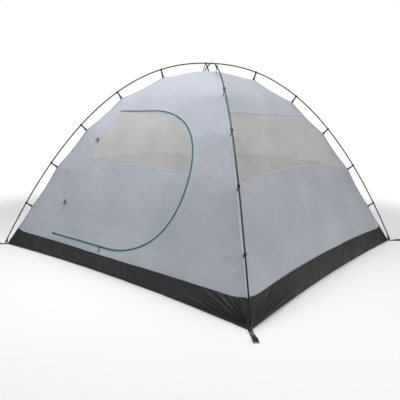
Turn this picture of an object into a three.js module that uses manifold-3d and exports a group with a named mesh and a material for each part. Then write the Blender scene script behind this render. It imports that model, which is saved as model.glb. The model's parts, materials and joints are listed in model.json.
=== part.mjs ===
// A clip-up dome tent: the inner tent, its floor and its two crossed poles, pitched.
// Millimetres, +Z up. The origin is on the ground, under the point where the poles cross.
// The wall with the door faces -Y. Side 0 is that wall, and sides 1, 2 and 3 follow it anticlockwise,
// so side 1 faces +X, side 2 faces +Y and side 3 faces -X.
import * as THREE from "three";
import { mergeVertices } from "three/addons/utils/BufferGeometryUtils.js";
import Module from "manifold-3d";

const wasm = await Module();
wasm.setup();

// ---- Driving dimensions ----
// Overall
const FLOOR_WIDTH = 2160; // along X, from pole foot to pole foot
const FLOOR_DEPTH = 2100; // along Y, from pole foot to pole foot
const PEAK_HEIGHT = 1340; // the upper pole's centre line where the poles cross
const POLE_BEND = 2.2; // power of the bent pole's curve; 2 would be a parabola
// Poles
const POLE_RADIUS = 4.25;
const POLE_TUBE_WALL = 0.9;
const POLE_CROSSING_GAP = 0.5;
const POLE_SECTIONS = 3;
const POLE_SIDES = 8;
const POLE_STEPS = 48; // straight steps from foot to foot; the sections and the clips end on whole steps
const SPIGOT_RADIUS = 2.7;
const SPIGOT_LENGTH = 60;
const SPIGOT_SEAT = 12; // how much of a spigot is fixed in its own section
const TIP_RADIUS = 3;
const TIP_SIDES = 4;
const TIP_LENGTH = 16;
const TIP_COLLAR_RADIUS = 5.5;
const TIP_COLLAR_LENGTH = 10;
// Canopy
const CLOTH = 2.5; // thickness of a cloth panel's solid
const SEAM_GAP = 0.6; // between two panels that are sewn together
const CANOPY_DROP = 50; // from the pole's centre line to the canopy under it
const FOOT_INSET = 18; // from a pole's foot in to the corner of the floor
const PROFILE_STEPS = 20;
const MESH_SEAM_HEIGHT = 985; // lower edge of the solid cloth at the top
const MESH_ARC_HEIGHT = 650; // top of the arc under the mesh, at the middle of a wall
const MESH_ARC_DROP = 50; // how far that arc falls at MESH_ARC_REACH
const MESH_ARC_REACH = 700;
// Tub floor: each side has its own curves, and the door side is flat on top
const TUB_HEIGHT = 108;
const TUB_RISE = [4, 30, 30, 30]; // how much higher the seam is at the middle of each side
const FLOOR_EDGE_PULL = [55, 35, 55, 35]; // how far the ground edge is pulled in at the middle
const TUB_STEPS = 14;
// Door
const DOOR_BOTTOM = 154;
const DOOR_TOP = 990;
const HINGE_TOP_X = -400;
const HINGE_BOTTOM_X = -590;
const DOOR_CREST_X = -40; // where the straight top edge ends
const DOOR_SIDE_X = 458; // the edge's farthest point from the hinge
const DOOR_SIDE_Z = 560;
const DOOR_TOE_X = 0; // where the straight bottom edge starts
// How far each round stretch's handles reach, as shares of its width and its height
const UPPER_ROUND = { across: 0.56, along: 0.65 };
const LOWER_ROUND = { across: 0.63, along: 0.57 };
const HINGE_CLEARANCE = 2; // from the hinge axis to the cloth that bulges out most
// Zipper
const TRACK_RADIUS = 2.4;
const TRACK_OFFSET = 3.8; // from the zipper's centre line to each track's
const TRACK_GAP = 0.4; // from a track to the cloth that it is sewn to
const TRACK_END = 45; // the zipper stops this far from the hinge
const TRACK_STEPS = 64;
const TRACK_SIDES = 3;
const ZIP_SAMPLES = 48;
const SLIDER_X = -67; // where the slider stands
const SLIDER_LENGTH = 14;
const SLIDER_PLATE = 1.8;
const SLIDER_CLEARANCE = 0.5;
const PULL_LENGTH = 36;
const PULL_EYE_WIDTH = 5;
const PULL_THICKNESS = 1.6;
const PULL_GRIP = [7, 18, 2.6]; // wide, long and thick
const REST_GAP = 0.7; // from a resting pull to the cloth
const STEM = 1.6;
const PIN_SEAT_GAP = 0.6; // from a pull's eye to the slider's plate
// Small hinges: a pin between two cheeks, and an eye that turns on it
const PIN_RADIUS = 1.2;
const EYE_CLEARANCE = 0.4;
const EYE_WALL = 1.4;
const CHEEK = 1.6;
// Door toggles
const TOGGLE_HEIGHTS = [792, 368];
const TOGGLE_INSET = 18; // from the hinge line to the middle of a toggle
const TOGGLE_RADIUS = 3.4;
const TOGGLE_LENGTH = 26;
const TOGGLE_REACH = 16;
const TOGGLE_GAP = 1; // from a toggle to the cloth under it
const TOGGLE_EYE_WIDTH = 6;
// Pole clips
const CLIPS_PER_LEG = 5;
const CLIP_HOOK_CLEARANCE = 0.4;
const CLIP_HOOK_WALL = 2.6;
const CLIP_HOOK_WIDTH = 8;
const CLIP_MOUTH = (70 * Math.PI) / 180; // angle that the hook leaves open
const CLIP_NECK = 6;
const CLIP_FOOT = 16; // width of the tab where it meets the canopy
const CLIP_THICKNESS = 3.4;
const CLIP_SLOT = [9, 3]; // webbing slot, long by wide
const CLIP_SLOT_RISE = 12; // from the canopy up to the slot
// Hook at the crossing, with its forked webbing
const PEAK_HOOK_OFFSET = 24; // along the upper pole, from the crossing
const PEAK_HOOK_CLEARANCE = 1.2;
const PEAK_FORK_SPREAD = 20;
const PEAK_STEM = 12; // from the pole's centre line to the end of the hook's stem
const WEBBING = 1.8; // thickness
// Corner tabs and rain-fly buckles
const TAB_WIDTH = 22;
const TAB_RISE = 46; // how far the tab runs up the corner of the tub
const TAB_REACH = 38; // from the pole's foot out to the buckle's hinge
const TAB_LIFT = 0.4;
const TAB_HOLE_RADIUS = 5;
const BUCKLE_STRAP = 16;
const BUCKLE_LENGTH = 42;
const BUCKLE_WIDTH = 24;
const BUCKLE_THICKNESS = 8;
const BUCKLE_BODY = 19; // from the strap's end to the roots of the arms
const BUCKLE_BOW = 2; // how far the arms bow out
const BUCKLE_SLOT = 3;
const BUCKLE_SLOTS = [5, 11]; // from the strap's end to the middle of each slot

// ---- Worked out from them ----
const POLE_REACH = Math.hypot(FLOOR_WIDTH, FLOOR_DEPTH) / 2;
const POLE_DIAMETER = 2 * POLE_RADIUS;
const LOWER_PEAK = PEAK_HEIGHT - POLE_DIAMETER - POLE_CROSSING_GAP;
const CORNER_REACH = POLE_REACH - FOOT_INSET;
const EYE_RADIUS = PIN_RADIUS + EYE_CLEARANCE + EYE_WALL;
const HALF_SIZES = [FLOOR_WIDTH / 2, FLOOR_DEPTH / 2];
const SIDE_NAMES = ["door_side", "right_side", "back_side", "left_side"];
const LEG_NAMES = ["front_left", "front_right", "back_right", "back_left"];
const LEG_SIGNS = [[-1, -1], [1, -1], [1, 1], [-1, 1]];
const FAR = 4 * POLE_REACH;
const STEP_SLACK = 1e-4; // less than this counts as nothing
const UP = new THREE.Vector3(0, 0, 1);

// ---- Materials ----
function finish(color, roughness, metalness = 0) {
  return new THREE.MeshStandardMaterial({ color, roughness, metalness });
}

const MATERIALS = {
  canopy: finish(0xb4b8c3, 0.8),
  mesh: finish(0xb8b7b4, 0.9),
  tub: finish(0x45494a, 0.7),
  zipper: finish(0x2b6f6f, 0.5),
  plastic: finish(0x14201f, 0.5),
  webbing: finish(0x1a1f1f, 0.8),
  pole: finish(0x47575a, 0.35, 0.8),
};

// ---- Solids ----
function solidFrom(geometry) {
  const bare = new THREE.BufferGeometry();
  bare.setAttribute("position", geometry.getAttribute("position").clone());
  if (geometry.index) bare.setIndex(geometry.index.clone());
  const merged = mergeVertices(bare, 1e-3);
  const index = merged.index.array;
  const triangles = [];
  for (let i = 0; i < index.length; i += 3) {
    const [a, b, c] = index.slice(i, i + 3);
    if (a !== b && b !== c && c !== a) triangles.push(a, b, c);
  }
  return new wasm.Manifold(
    new wasm.Mesh({
      numProp: 3,
      vertProperties: merged.attributes.position.array,
      triVerts: new Uint32Array(triangles),
    }),
  );
}

function geometryFrom(solid) {
  const mesh = solid.getMesh();
  const geometry = new THREE.BufferGeometry();
  geometry.setAttribute("position", new THREE.BufferAttribute(mesh.vertProperties, 3));
  geometry.setIndex(new THREE.BufferAttribute(mesh.triVerts, 1));
  geometry.computeVertexNormals();
  return geometry;
}

const joined = (...geometries) => geometries.map(solidFrom).reduce((whole, part) => whole.add(part));
const cut = (geometry, ...tools) => joined(geometry).subtract(joined(...tools));

// A closed skin through rings of equally many points, with a flat cap at each end. The second half of
// each ring splits its quads the other way, so that the two skins of a twisted wall stay parallel.
function loft(rings) {
  const count = rings[0].length;
  const points = rings.flat();
  const triangles = [];
  for (let ring = 0; ring + 1 < rings.length; ring++) {
    for (let i = 0; i < count; i++) {
      const a = ring * count + i;
      const b = ring * count + ((i + 1) % count);
      if (i < count / 2) triangles.push(a, b, b + count, a, b + count, a + count);
      else triangles.push(a, b, a + count, b, b + count, a + count);
    }
  }
  const last = (rings.length - 1) * count;
  for (let i = 1; i + 1 < count; i++) {
    triangles.push(0, i + 1, i);
    triangles.push(last, last + i, last + i + 1);
  }
  const geometry = new THREE.BufferGeometry().setFromPoints(points);
  geometry.setIndex(triangles);
  return geometry;
}

function box(sizeX, sizeY, sizeZ, x = 0, y = 0, z = 0) {
  return new THREE.BoxGeometry(sizeX, sizeY, sizeZ).translate(x, y, z);
}

// A cylinder along X, centred on the point.
function rodAlongX(radius, length, y = 0, z = 0, sides = 10) {
  return new THREE.CylinderGeometry(radius, radius, length, sides).rotateZ(Math.PI / 2).translate(0, y, z);
}

function shapeFrom(points) {
  return new THREE.Shape(points.map(([x, y]) => new THREE.Vector2(x, y)));
}

function extruded(shape, depth, curveSegments = 8) {
  return new THREE.ExtrudeGeometry(shape, { depth, curveSegments, bevelEnabled: false });
}

// ---- Poles ----
// One bent pole from foot to foot, over the floor's diagonal. Direction is +1 or -1: whether X and Y
// grow together along it.
class BentPole extends THREE.Curve {
  constructor(direction, peak) {
    super();
    this.direction = direction;
    this.peak = peak;
  }

  getPoint(t, target = new THREE.Vector3()) {
    const share = 2 * t - 1;
    const height = this.peak * (1 - Math.abs(share) ** POLE_BEND);
    return target.set((share * FLOOR_WIDTH) / 2, (this.direction * share * FLOOR_DEPTH) / 2, height);
  }
}

// A stretch of a pole, between two shares of its length. It is drawn in the pole's own even steps.
class Stretch extends THREE.Curve {
  constructor(pole, from, to) {
    super();
    this.pole = pole;
    const stops = Array.from({ length: POLE_STEPS + 1 }, (_, i) => i / POLE_STEPS);
    const inner = stops.filter((stop) => stop > from + STEP_SLACK && stop < to - STEP_SLACK);
    this.shares = [from, ...inner, to];
  }

  getPoint(t, target = new THREE.Vector3()) {
    const first = this.shares[0];
    return this.pole.getPointAt(first + (this.shares.at(-1) - first) * t, target);
  }

  getSpacedPoints() {
    return this.shares.map((share) => this.pole.getPointAt(share));
  }
}

const upperPole = new BentPole(1, PEAK_HEIGHT);
const lowerPole = new BentPole(-1, LOWER_PEAK);

// A tube along a curve, or a rod if it has no bore.
function tubeAlong(curve, outer, bore, steps, sides = POLE_SIDES) {
  const section = new THREE.Shape().absarc(0, 0, outer, 0, 2 * Math.PI);
  if (bore > 0) section.holes.push(new THREE.Path().absarc(0, 0, bore, 0, 2 * Math.PI, true));
  return new THREE.ExtrudeGeometry(section, { extrudePath: curve, steps, curveSegments: sides / 2 });
}

// The metal tip that stands on the ground in the corner tab's hole, with its collar on the tube's end.
function poleTip(pole, atStart) {
  const length = pole.getLength();
  const at = (distance) => pole.getPointAt(atStart ? distance / length : 1 - distance / length);
  const foot = at(TIP_RADIUS);
  foot.z = TIP_RADIUS;
  const pin = new THREE.LineCurve3(foot, at(TIP_LENGTH + TIP_COLLAR_LENGTH / 2));
  const collar = new THREE.LineCurve3(at(TIP_LENGTH), at(TIP_LENGTH + TIP_COLLAR_LENGTH));
  const ball = new THREE.SphereGeometry(TIP_RADIUS, 8, 6).rotateX(Math.PI / 2);
  ball.translate(foot.x, foot.y, foot.z);
  const stem = tubeAlong(pin, TIP_RADIUS, 0, 1, TIP_SIDES);
  return joined(stem, tubeAlong(collar, TIP_COLLAR_RADIUS, 0, 1, TIP_SIDES), ball);
}

// The hollow spigot that joins a section to its neighbour. Joint is the step that they meet on, and
// away is +1 or -1, the way to the neighbour.
function spigot(pole, joint, away) {
  const stop = (step) => pole.getPointAt(step / POLE_STEPS);
  const start = stop(joint);
  const intoNeighbour = stop(joint + away).sub(start).normalize();
  const intoSelf = stop(joint - away).sub(start).normalize();
  const from = (direction, distance) => start.clone().addScaledVector(direction, distance);
  const rod = new THREE.LineCurve3(from(intoNeighbour, -SPIGOT_SEAT), from(intoNeighbour, SPIGOT_LENGTH));
  const plug = new THREE.LineCurve3(from(intoSelf, SEAM_GAP), from(intoSelf, SPIGOT_SEAT));
  const bore = SPIGOT_RADIUS - POLE_TUBE_WALL;
  const plugRadius = POLE_RADIUS - POLE_TUBE_WALL / 2;
  return joined(tubeAlong(rod, SPIGOT_RADIUS, bore, 1), tubeAlong(plug, plugRadius, bore, 1));
}

// One section of a pole. The end sections carry the tips, and the others push their spigots into them.
function poleSection(pole, number) {
  const length = pole.getLength();
  const startStep = (number * POLE_STEPS) / POLE_SECTIONS;
  const endStep = startStep + POLE_STEPS / POLE_SECTIONS;
  const isFirst = startStep === 0;
  const isLast = endStep === POLE_STEPS;
  const gap = SEAM_GAP / 2 / length;
  const tipShare = (TIP_LENGTH + TIP_COLLAR_LENGTH / 2) / length;
  const from = startStep / POLE_STEPS + (isFirst ? tipShare : gap);
  const to = endStep / POLE_STEPS - (isLast ? tipShare : gap);
  const body = new Stretch(pole, from, to);
  const tube = tubeAlong(body, POLE_RADIUS, POLE_RADIUS - POLE_TUBE_WALL, body.shares.length - 1);
  let solid = solidFrom(tube);
  if (isFirst || isLast) return solid.add(poleTip(pole, isFirst));
  solid = solid.add(spigot(pole, startStep, -1));
  return solid.add(spigot(pole, endStep, 1));
}

// ---- Canopy shape ----
// The canopy hangs inside the lower pole's curve. Its profile runs down a corner: x is the distance
// from the middle along the floor's diagonal, and y is the height.
function canopyProfile() {
  const points = [];
  const firstClipShare = 1 / (2 * (CLIPS_PER_LEG + 1));
  const firstClipHeight = lowerPole.getPointAt(firstClipShare).z;
  for (let i = 0; i <= PROFILE_STEPS; i++) {
    const share = i / PROFILE_STEPS;
    const reach = POLE_REACH * share;
    const height = LOWER_PEAK * (1 - share ** POLE_BEND);
    const slope = (LOWER_PEAK * POLE_BEND * share ** (POLE_BEND - 1)) / POLE_REACH;
    const along = Math.hypot(slope, 1);
    const tight = Math.min(1, height / firstClipHeight);
    const drop = FOOT_INSET + (CANOPY_DROP - FOOT_INSET) * tight;
    points.push(new THREE.Vector2(reach - (drop * slope) / along, height - drop / along));
  }
  points[0].x = 0;
  return points;
}

const profile = canopyProfile();

// Distance from the middle to the canopy's corner, along the diagonal, at a height.
function cornerReachAt(height) {
  const below = profile.findIndex((point) => point.y <= height);
  const a = profile[below - 1];
  const b = profile[below];
  return a.x + ((b.x - a.x) * (a.y - height)) / (a.y - b.y);
}

const sideHalf = (side) => HALF_SIZES[side % 2];
const sideDistance = (side) => HALF_SIZES[(side + 1) % 2];
const wallDistanceAt = (side, height) => (sideDistance(side) * cornerReachAt(height)) / POLE_REACH;
const wallHalfAt = (side, height) => (sideHalf(side) * cornerReachAt(height)) / POLE_REACH;

// How steep the wall is at a height: the angle over the ground.
function wallSlopeAt(side, height) {
  const rise = 10;
  const run = wallDistanceAt(side, height - rise) - wallDistanceAt(side, height + rise);
  return Math.atan2(2 * rise, run);
}

// The shell of the whole canopy, with a square plan: a turned skin with four sides, stretched to the
// floor's width and depth.
function canopyShell() {
  const bottom = profile.findIndex((point) => point.y < TUB_HEIGHT / 2);
  const outer = profile.slice(0, bottom + 1);
  const inner = outer.map((point, i) => {
    const before = outer[Math.max(i - 1, 0)];
    const after = outer[Math.min(i + 1, outer.length - 1)];
    const tangent = new THREE.Vector2().subVectors(after, before).normalize();
    return new THREE.Vector2(point.x + tangent.y * CLOTH, point.y - tangent.x * CLOTH);
  });
  inner[0].set(0, outer[0].y - CLOTH);
  const closed = [...outer, ...inner.reverse()].reverse();
  const shell = new THREE.LatheGeometry(closed, 4, Math.PI / 4).rotateX(Math.PI / 2);
  const toCorner = Math.SQRT2 / 2 / POLE_REACH;
  return solidFrom(shell.scale(FLOOR_WIDTH * toCorner, FLOOR_DEPTH * toCorner, 1));
}

const shell = canopyShell();

// The wedge of space that belongs to one side, between the two ridges.
function sector(side) {
  const half = (FAR * sideHalf(side)) / POLE_REACH;
  const distance = (FAR * sideDistance(side)) / POLE_REACH;
  const wedge = shapeFrom([[0, -SEAM_GAP], [-half, -distance - SEAM_GAP], [half, -distance - SEAM_GAP]]);
  return extruded(wedge, PEAK_HEIGHT * 2).rotateZ((side * Math.PI) / 2);
}

// What lies behind an outline drawn on one side, looking at it from outside.
function behind(side, outline) {
  return extruded(outline, FAR, 16).rotateX(Math.PI / 2).rotateZ((side * Math.PI) / 2);
}

function wallPanel(side, outline) {
  return shell.intersect(solidFrom(sector(side))).intersect(solidFrom(behind(side, outline)));
}

// ---- Outlines of the panels ----
const tubCorner = (side) => wallHalfAt(side, TUB_HEIGHT);

// Height of the seam between tub and wall. Across is the distance from the middle of the side.
function tubSeamAt(side, across) {
  return TUB_HEIGHT + TUB_RISE[side] * (1 - (across / tubCorner(side)) ** 2);
}

// Puts an arc that rises in the middle onto an outline, from one height at both ends.
function arcAcross(outline, fromX, toX, endHeight, rise) {
  outline.lineTo(fromX, endHeight);
  outline.quadraticCurveTo((fromX + toX) / 2, endHeight + 2 * rise, toX, endHeight);
}

function meshArc(outline, fromX, toX, offset) {
  const rise = MESH_ARC_DROP * (toX / MESH_ARC_REACH) ** 2;
  arcAcross(outline, fromX, toX, MESH_ARC_HEIGHT - rise + offset, rise);
}

// Wide enough for the arc to run past both ridges.
const meshArcEnd = (side) => wallHalfAt(side, MESH_ARC_HEIGHT - 2 * MESH_ARC_DROP);

function startAboveTub(side) {
  const outline = new THREE.Shape();
  const corner = tubCorner(side);
  outline.moveTo(-corner, TUB_HEIGHT + SEAM_GAP);
  arcAcross(outline, -corner, corner, TUB_HEIGHT + SEAM_GAP, TUB_RISE[side]);
  return outline;
}

function lowerOutline(side) {
  const outline = startAboveTub(side);
  const end = meshArcEnd(side);
  outline.lineTo(tubCorner(side), MESH_ARC_HEIGHT / 2);
  meshArc(outline, end, -end, 0);
  outline.lineTo(-tubCorner(side), MESH_ARC_HEIGHT / 2);
  return outline;
}

function meshOutline(side) {
  const outline = new THREE.Shape();
  const end = meshArcEnd(side);
  outline.moveTo(end, MESH_SEAM_HEIGHT);
  outline.lineTo(-end, MESH_SEAM_HEIGHT);
  meshArc(outline, -end, end, SEAM_GAP);
  return outline;
}

function topOutline() {
  const left = -FLOOR_WIDTH;
  const foot = MESH_SEAM_HEIGHT + SEAM_GAP;
  return shapeFrom([[left, foot], [-left, foot], [-left, 2 * PEAK_HEIGHT], [left, 2 * PEAK_HEIGHT]]);
}

function doorWallOutline() {
  const outline = startAboveTub(0);
  outline.lineTo(tubCorner(0), 2 * PEAK_HEIGHT);
  outline.lineTo(-tubCorner(0), 2 * PEAK_HEIGHT);
  return outline;
}

// ---- Door ----
// The zipper's centre line, seen from the front: along the top, round the side and back along the bottom.
function zipperLine() {
  const path = new THREE.Path();
  const topReach = DOOR_SIDE_X - DOOR_CREST_X;
  const bottomReach = DOOR_SIDE_X - DOOR_TOE_X;
  const upperRise = DOOR_TOP - DOOR_SIDE_Z;
  const lowerRise = DOOR_SIDE_Z - DOOR_BOTTOM;
  path.moveTo(HINGE_TOP_X, DOOR_TOP);
  path.lineTo(DOOR_CREST_X, DOOR_TOP);
  path.bezierCurveTo(
    DOOR_CREST_X + UPPER_ROUND.across * topReach, DOOR_TOP,
    DOOR_SIDE_X, DOOR_SIDE_Z + UPPER_ROUND.along * upperRise,
    DOOR_SIDE_X, DOOR_SIDE_Z,
  );
  path.bezierCurveTo(
    DOOR_SIDE_X, DOOR_SIDE_Z - LOWER_ROUND.along * lowerRise,
    DOOR_TOE_X + LOWER_ROUND.across * bottomReach, DOOR_BOTTOM,
    DOOR_TOE_X, DOOR_BOTTOM,
  );
  path.lineTo(HINGE_BOTTOM_X, DOOR_BOTTOM);
  return path;
}

const zipper = zipperLine();

// Points along the zipper, each moved by offset away from the door's middle.
function zipperPoints(offset, fromShare, toShare, count) {
  const points = [];
  for (let i = 0; i <= count; i++) {
    const share = fromShare + ((toShare - fromShare) * i) / count;
    const point = zipper.getPointAt(share);
    const tangent = zipper.getTangentAt(share);
    points.push(new THREE.Vector2(point.x - tangent.y * offset, point.y + tangent.x * offset));
  }
  return points;
}

function hingeLineAt(height) {
  const share = (DOOR_TOP - height) / (DOOR_TOP - DOOR_BOTTOM);
  return HINGE_TOP_X + (HINGE_BOTTOM_X - HINGE_TOP_X) * share;
}

// The door's outline, grown by offset along the zipper and by atHinge along the hinge.
function doorOutline(offset, atHinge) {
  const edge = zipperPoints(offset, 0, 1, ZIP_SAMPLES);
  edge[0].x = hingeLineAt(edge[0].y) - atHinge;
  edge[ZIP_SAMPLES].x = hingeLineAt(edge[ZIP_SAMPLES].y) - atHinge;
  return new THREE.Shape(edge);
}

const TRACK_EDGE = TRACK_OFFSET + TRACK_RADIUS + TRACK_GAP;

function doorWall() {
  const opening = solidFrom(behind(0, doorOutline(TRACK_EDGE, SEAM_GAP)));
  let wall = wallPanel(0, doorWallOutline()).subtract(opening);
  for (const height of TOGGLE_HEIGHTS) wall = wall.add(toggleLoop(height));
  return wall;
}

// The half of the door under the arc, or the half over it.
function doorHalf(isUpper) {
  const outline = new THREE.Shape();
  const end = meshArcEnd(0);
  const far = isUpper ? DOOR_TOP * 2 : -DOOR_TOP;
  outline.moveTo(-end, far);
  outline.lineTo(end, far);
  meshArc(outline, end, -end, isUpper ? SEAM_GAP : 0);
  const leaf = wallPanel(0, doorOutline(-TRACK_EDGE, -SEAM_GAP));
  return leaf.intersect(solidFrom(behind(0, outline)));
}

// A point in the middle of the front wall's cloth.
function inFrontWall(x, height, depth = CLOTH / 2) {
  return new THREE.Vector3(x, depth - wallDistanceAt(0, height), height);
}

function zipperTrack(offset) {
  const end = TRACK_END / zipper.getLength();
  const points = zipperPoints(offset, end, 1 - end, TRACK_STEPS).map(({ x, y }) => inFrontWall(x, y));
  const path = new THREE.CatmullRomCurve3(points);
  return solidFrom(tubeAlong(path, TRACK_RADIUS, 0, TRACK_STEPS, TRACK_SIDES));
}

// The frame that swings with the door. It stands at the bottom of the straight line that the door turns
// on, with Z up that line, which runs just outside the cloth because the wall bulges between its ends.
function doorFrame() {
  const top = inFrontWall(HINGE_TOP_X, DOOR_TOP, 0);
  const bottom = inFrontWall(HINGE_BOTTOM_X, DOOR_BOTTOM, 0);
  const middle = (DOOR_TOP + DOOR_BOTTOM) / 2;
  const bulge = inFrontWall(hingeLineAt(middle), middle, 0).y - (top.y + bottom.y) / 2;
  const out = bulge - HINGE_CLEARANCE;
  const frame = new THREE.Group();
  frame.position.set(bottom.x, bottom.y + out, bottom.z);
  frame.quaternion.setFromUnitVectors(UP, top.sub(bottom).normalize());
  return frame;
}

// ---- Small hinges ----
// Two cheeks with a pin between them, standing on the plane z = -seat. The pin is at the origin, along X.
function pinBracket(width, seat, depth = 2 * EYE_RADIUS) {
  const height = seat + EYE_RADIUS;
  const cheekX = width / 2 + CHEEK / 2;
  const cheekZ = (EYE_RADIUS - seat) / 2;
  return joined(
    rodAlongX(PIN_RADIUS, width + CHEEK, 0, 0, 8),
    box(CHEEK, depth, height, cheekX, 0, cheekZ),
    box(CHEEK, depth, height, -cheekX, 0, cheekZ),
  );
}

// A round eye for the pin, with a flat strip that leaves it along -Y.
function eyeStrip(width, stripWidth, length, thickness) {
  const start = EYE_RADIUS - EYE_WALL / 2;
  const solid = joined(
    rodAlongX(EYE_RADIUS, width),
    box(stripWidth, length - start, thickness, 0, -(length + start) / 2, 0),
  );
  return solid.subtract(solidFrom(rodAlongX(PIN_RADIUS + EYE_CLEARANCE, width + 2)));
}

// ---- Slider and pulls ----
// In the slider's own frame X runs along the zipper, Y up the wall and Z out of it, with the origin on
// the cloth's outer face at the zipper's centre line. The slider stays on the wall's track. Its outer
// plate stops at the middle, so that the door's track can swing out of it.
const BRACKET_SEAT = EYE_RADIUS + PIN_SEAT_GAP;
const sliderTop = TRACK_RADIUS - CLOTH / 2 + SLIDER_CLEARANCE + SLIDER_PLATE;
const sliderBottom = -TRACK_RADIUS - CLOTH / 2 - SLIDER_CLEARANCE - SLIDER_PLATE;
const OUTER_PIN_Z = sliderTop + BRACKET_SEAT;
const INNER_PIN_Z = sliderBottom - BRACKET_SEAT;
const PULL_PIN_Y = -EYE_RADIUS; // both pulls hang on the half that grips the wall's track

function sliderSolid() {
  const reach = TRACK_OFFSET + TRACK_RADIUS + SLIDER_CLEARANCE;
  const middle = (sliderTop + sliderBottom) / 2;
  const outerReach = reach + STEM / 2;
  const plates = joined(
    box(SLIDER_LENGTH, outerReach, SLIDER_PLATE, 0, outerReach / 2 - reach, sliderTop - SLIDER_PLATE / 2),
    box(STEM * 2, STEM, sliderTop - sliderBottom - SLIDER_PLATE, 0, 0, middle),
    box(SLIDER_LENGTH, 2 * reach, SLIDER_PLATE, 0, 0, sliderBottom + SLIDER_PLATE / 2),
  );
  const bracket = pinBracket(PULL_EYE_WIDTH + 1, BRACKET_SEAT + SLIDER_PLATE / 2);
  const outer = geometryFrom(bracket);
  const inner = geometryFrom(bracket).rotateX(Math.PI);
  return plates
    .add(solidFrom(outer.translate(0, PULL_PIN_Y, OUTER_PIN_Z)))
    .add(solidFrom(inner.translate(0, PULL_PIN_Y, INNER_PIN_Z)));
}

function pullSolid() {
  const strip = eyeStrip(PULL_EYE_WIDTH, PULL_EYE_WIDTH - 1, PULL_LENGTH, PULL_THICKNESS);
  return strip.add(solidFrom(box(...PULL_GRIP, 0, PULL_GRIP[1] / 2 - PULL_LENGTH, 0)));
}

// A frame that stands on the front wall: X along it, Y up it and Z out of it.
function frontFrame(x, height) {
  const frame = new THREE.Group();
  frame.position.copy(inFrontWall(x, height, 0));
  frame.rotation.x = wallSlopeAt(0, height);
  return frame;
}

// ---- Toggles ----
const TOGGLE_PIN_Z = TOGGLE_RADIUS + TOGGLE_GAP;

function toggleLoop(height) {
  const frame = frontFrame(hingeLineAt(height) - TOGGLE_INSET, height);
  frame.updateMatrixWorld();
  const loop = geometryFrom(pinBracket(TOGGLE_EYE_WIDTH + 1, TOGGLE_PIN_Z + CLOTH / 2));
  return solidFrom(loop.translate(0, 0, TOGGLE_PIN_Z).applyMatrix4(frame.matrixWorld));
}

function toggleSolid() {
  const strap = eyeStrip(TOGGLE_EYE_WIDTH, TOGGLE_EYE_WIDTH - 1, TOGGLE_REACH, WEBBING);
  return strap.add(solidFrom(rodAlongX(TOGGLE_RADIUS, TOGGLE_LENGTH, -TOGGLE_REACH, 0)));
}

// ---- Clips ----
// In a clip's own frame X runs along the pole, Z away from the tent and Y across. The pole's centre
// line is at the origin, and the canopy is at z = -drop.
function hookRing(clearance) {
  const ring = new THREE.Shape();
  const inner = POLE_RADIUS + clearance;
  const start = CLIP_MOUTH / 2;
  const end = 2 * Math.PI - CLIP_MOUTH / 2;
  ring.absarc(0, 0, inner + CLIP_HOOK_WALL, start, end);
  ring.absarc(0, 0, inner, end, start, true);
  const geometry = extruded(ring, CLIP_HOOK_WIDTH, 7).translate(0, 0, -CLIP_HOOK_WIDTH / 2);
  return geometry.rotateX(Math.PI / 2).rotateZ(Math.PI / 2);
}

function taperedTab(topWidth, bottomWidth, top, bottom, thickness) {
  const outline = shapeFrom([
    [-topWidth / 2, top],
    [-bottomWidth / 2, bottom],
    [bottomWidth / 2, bottom],
    [topWidth / 2, top],
  ]);
  return extruded(outline, thickness).translate(0, 0, -thickness / 2).rotateX(Math.PI / 2);
}

function clipSolid(drop) {
  const bottom = -drop + TRACK_GAP;
  const top = -(POLE_RADIUS + CLIP_HOOK_CLEARANCE + CLIP_HOOK_WALL / 2);
  const slot = box(CLIP_SLOT[0], 2 * CLIP_THICKNESS, CLIP_SLOT[1], 0, 0, bottom + CLIP_SLOT_RISE);
  const tab = cut(taperedTab(CLIP_NECK, CLIP_FOOT, top, bottom, CLIP_THICKNESS), slot);
  return solidFrom(hookRing(CLIP_HOOK_CLEARANCE)).add(tab);
}

// Where a pole passes at a share of its length, with the direction away from the tent.
function poleFrame(pole, share) {
  const point = pole.getPointAt(share);
  const tangent = pole.getTangentAt(share);
  const across = new THREE.Vector3().crossVectors(UP, tangent).normalize();
  const outward = new THREE.Vector3().crossVectors(tangent, across);
  const frame = new THREE.Group();
  frame.position.copy(point);
  frame.quaternion.setFromRotationMatrix(new THREE.Matrix4().makeBasis(tangent, across, outward));
  return { frame, point, outward };
}

// How far the canopy's ridge is from a point of a pole, straight towards the tent.
function dropToCanopy(point, outward) {
  const reach = Math.hypot(point.x, point.y);
  const towards = Math.hypot(outward.x, outward.y);
  const depthAt = (drop) => point.z - drop * outward.z;
  let low = 0;
  let high = 3 * CANOPY_DROP;
  while (high - low > STEP_SLACK) {
    const drop = (low + high) / 2;
    const height = depthAt(drop);
    const isOutside = height > profile[0].y || reach - drop * towards > cornerReachAt(height);
    if (isOutside) low = drop;
    else high = drop;
  }
  return low;
}

// ---- Peak hook ----
function peakHookSolid() {
  const top = POLE_RADIUS + PEAK_HOOK_CLEARANCE + CLIP_HOOK_WALL / 2;
  const stem = box(CLIP_NECK * 2, CLIP_THICKNESS, PEAK_STEM - top, 0, 0, -(PEAK_STEM + top) / 2);
  return joined(hookRing(PEAK_HOOK_CLEARANCE), stem);
}

function peakForkSolid(drop) {
  const top = -PEAK_STEM - TRACK_GAP;
  const bottom = -drop + TRACK_GAP;
  const outer = PEAK_FORK_SPREAD + CLIP_NECK / 2;
  const inner = PEAK_FORK_SPREAD - CLIP_NECK / 2;
  const fork = shapeFrom([
    [-CLIP_NECK, top],
    [-outer, bottom],
    [-inner, bottom],
    [0, top - CLIP_NECK],
    [inner, bottom],
    [outer, bottom],
    [CLIP_NECK, top],
  ]);
  return solidFrom(extruded(fork, WEBBING).translate(0, 0, -WEBBING / 2).rotateX(Math.PI / 2));
}

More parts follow.
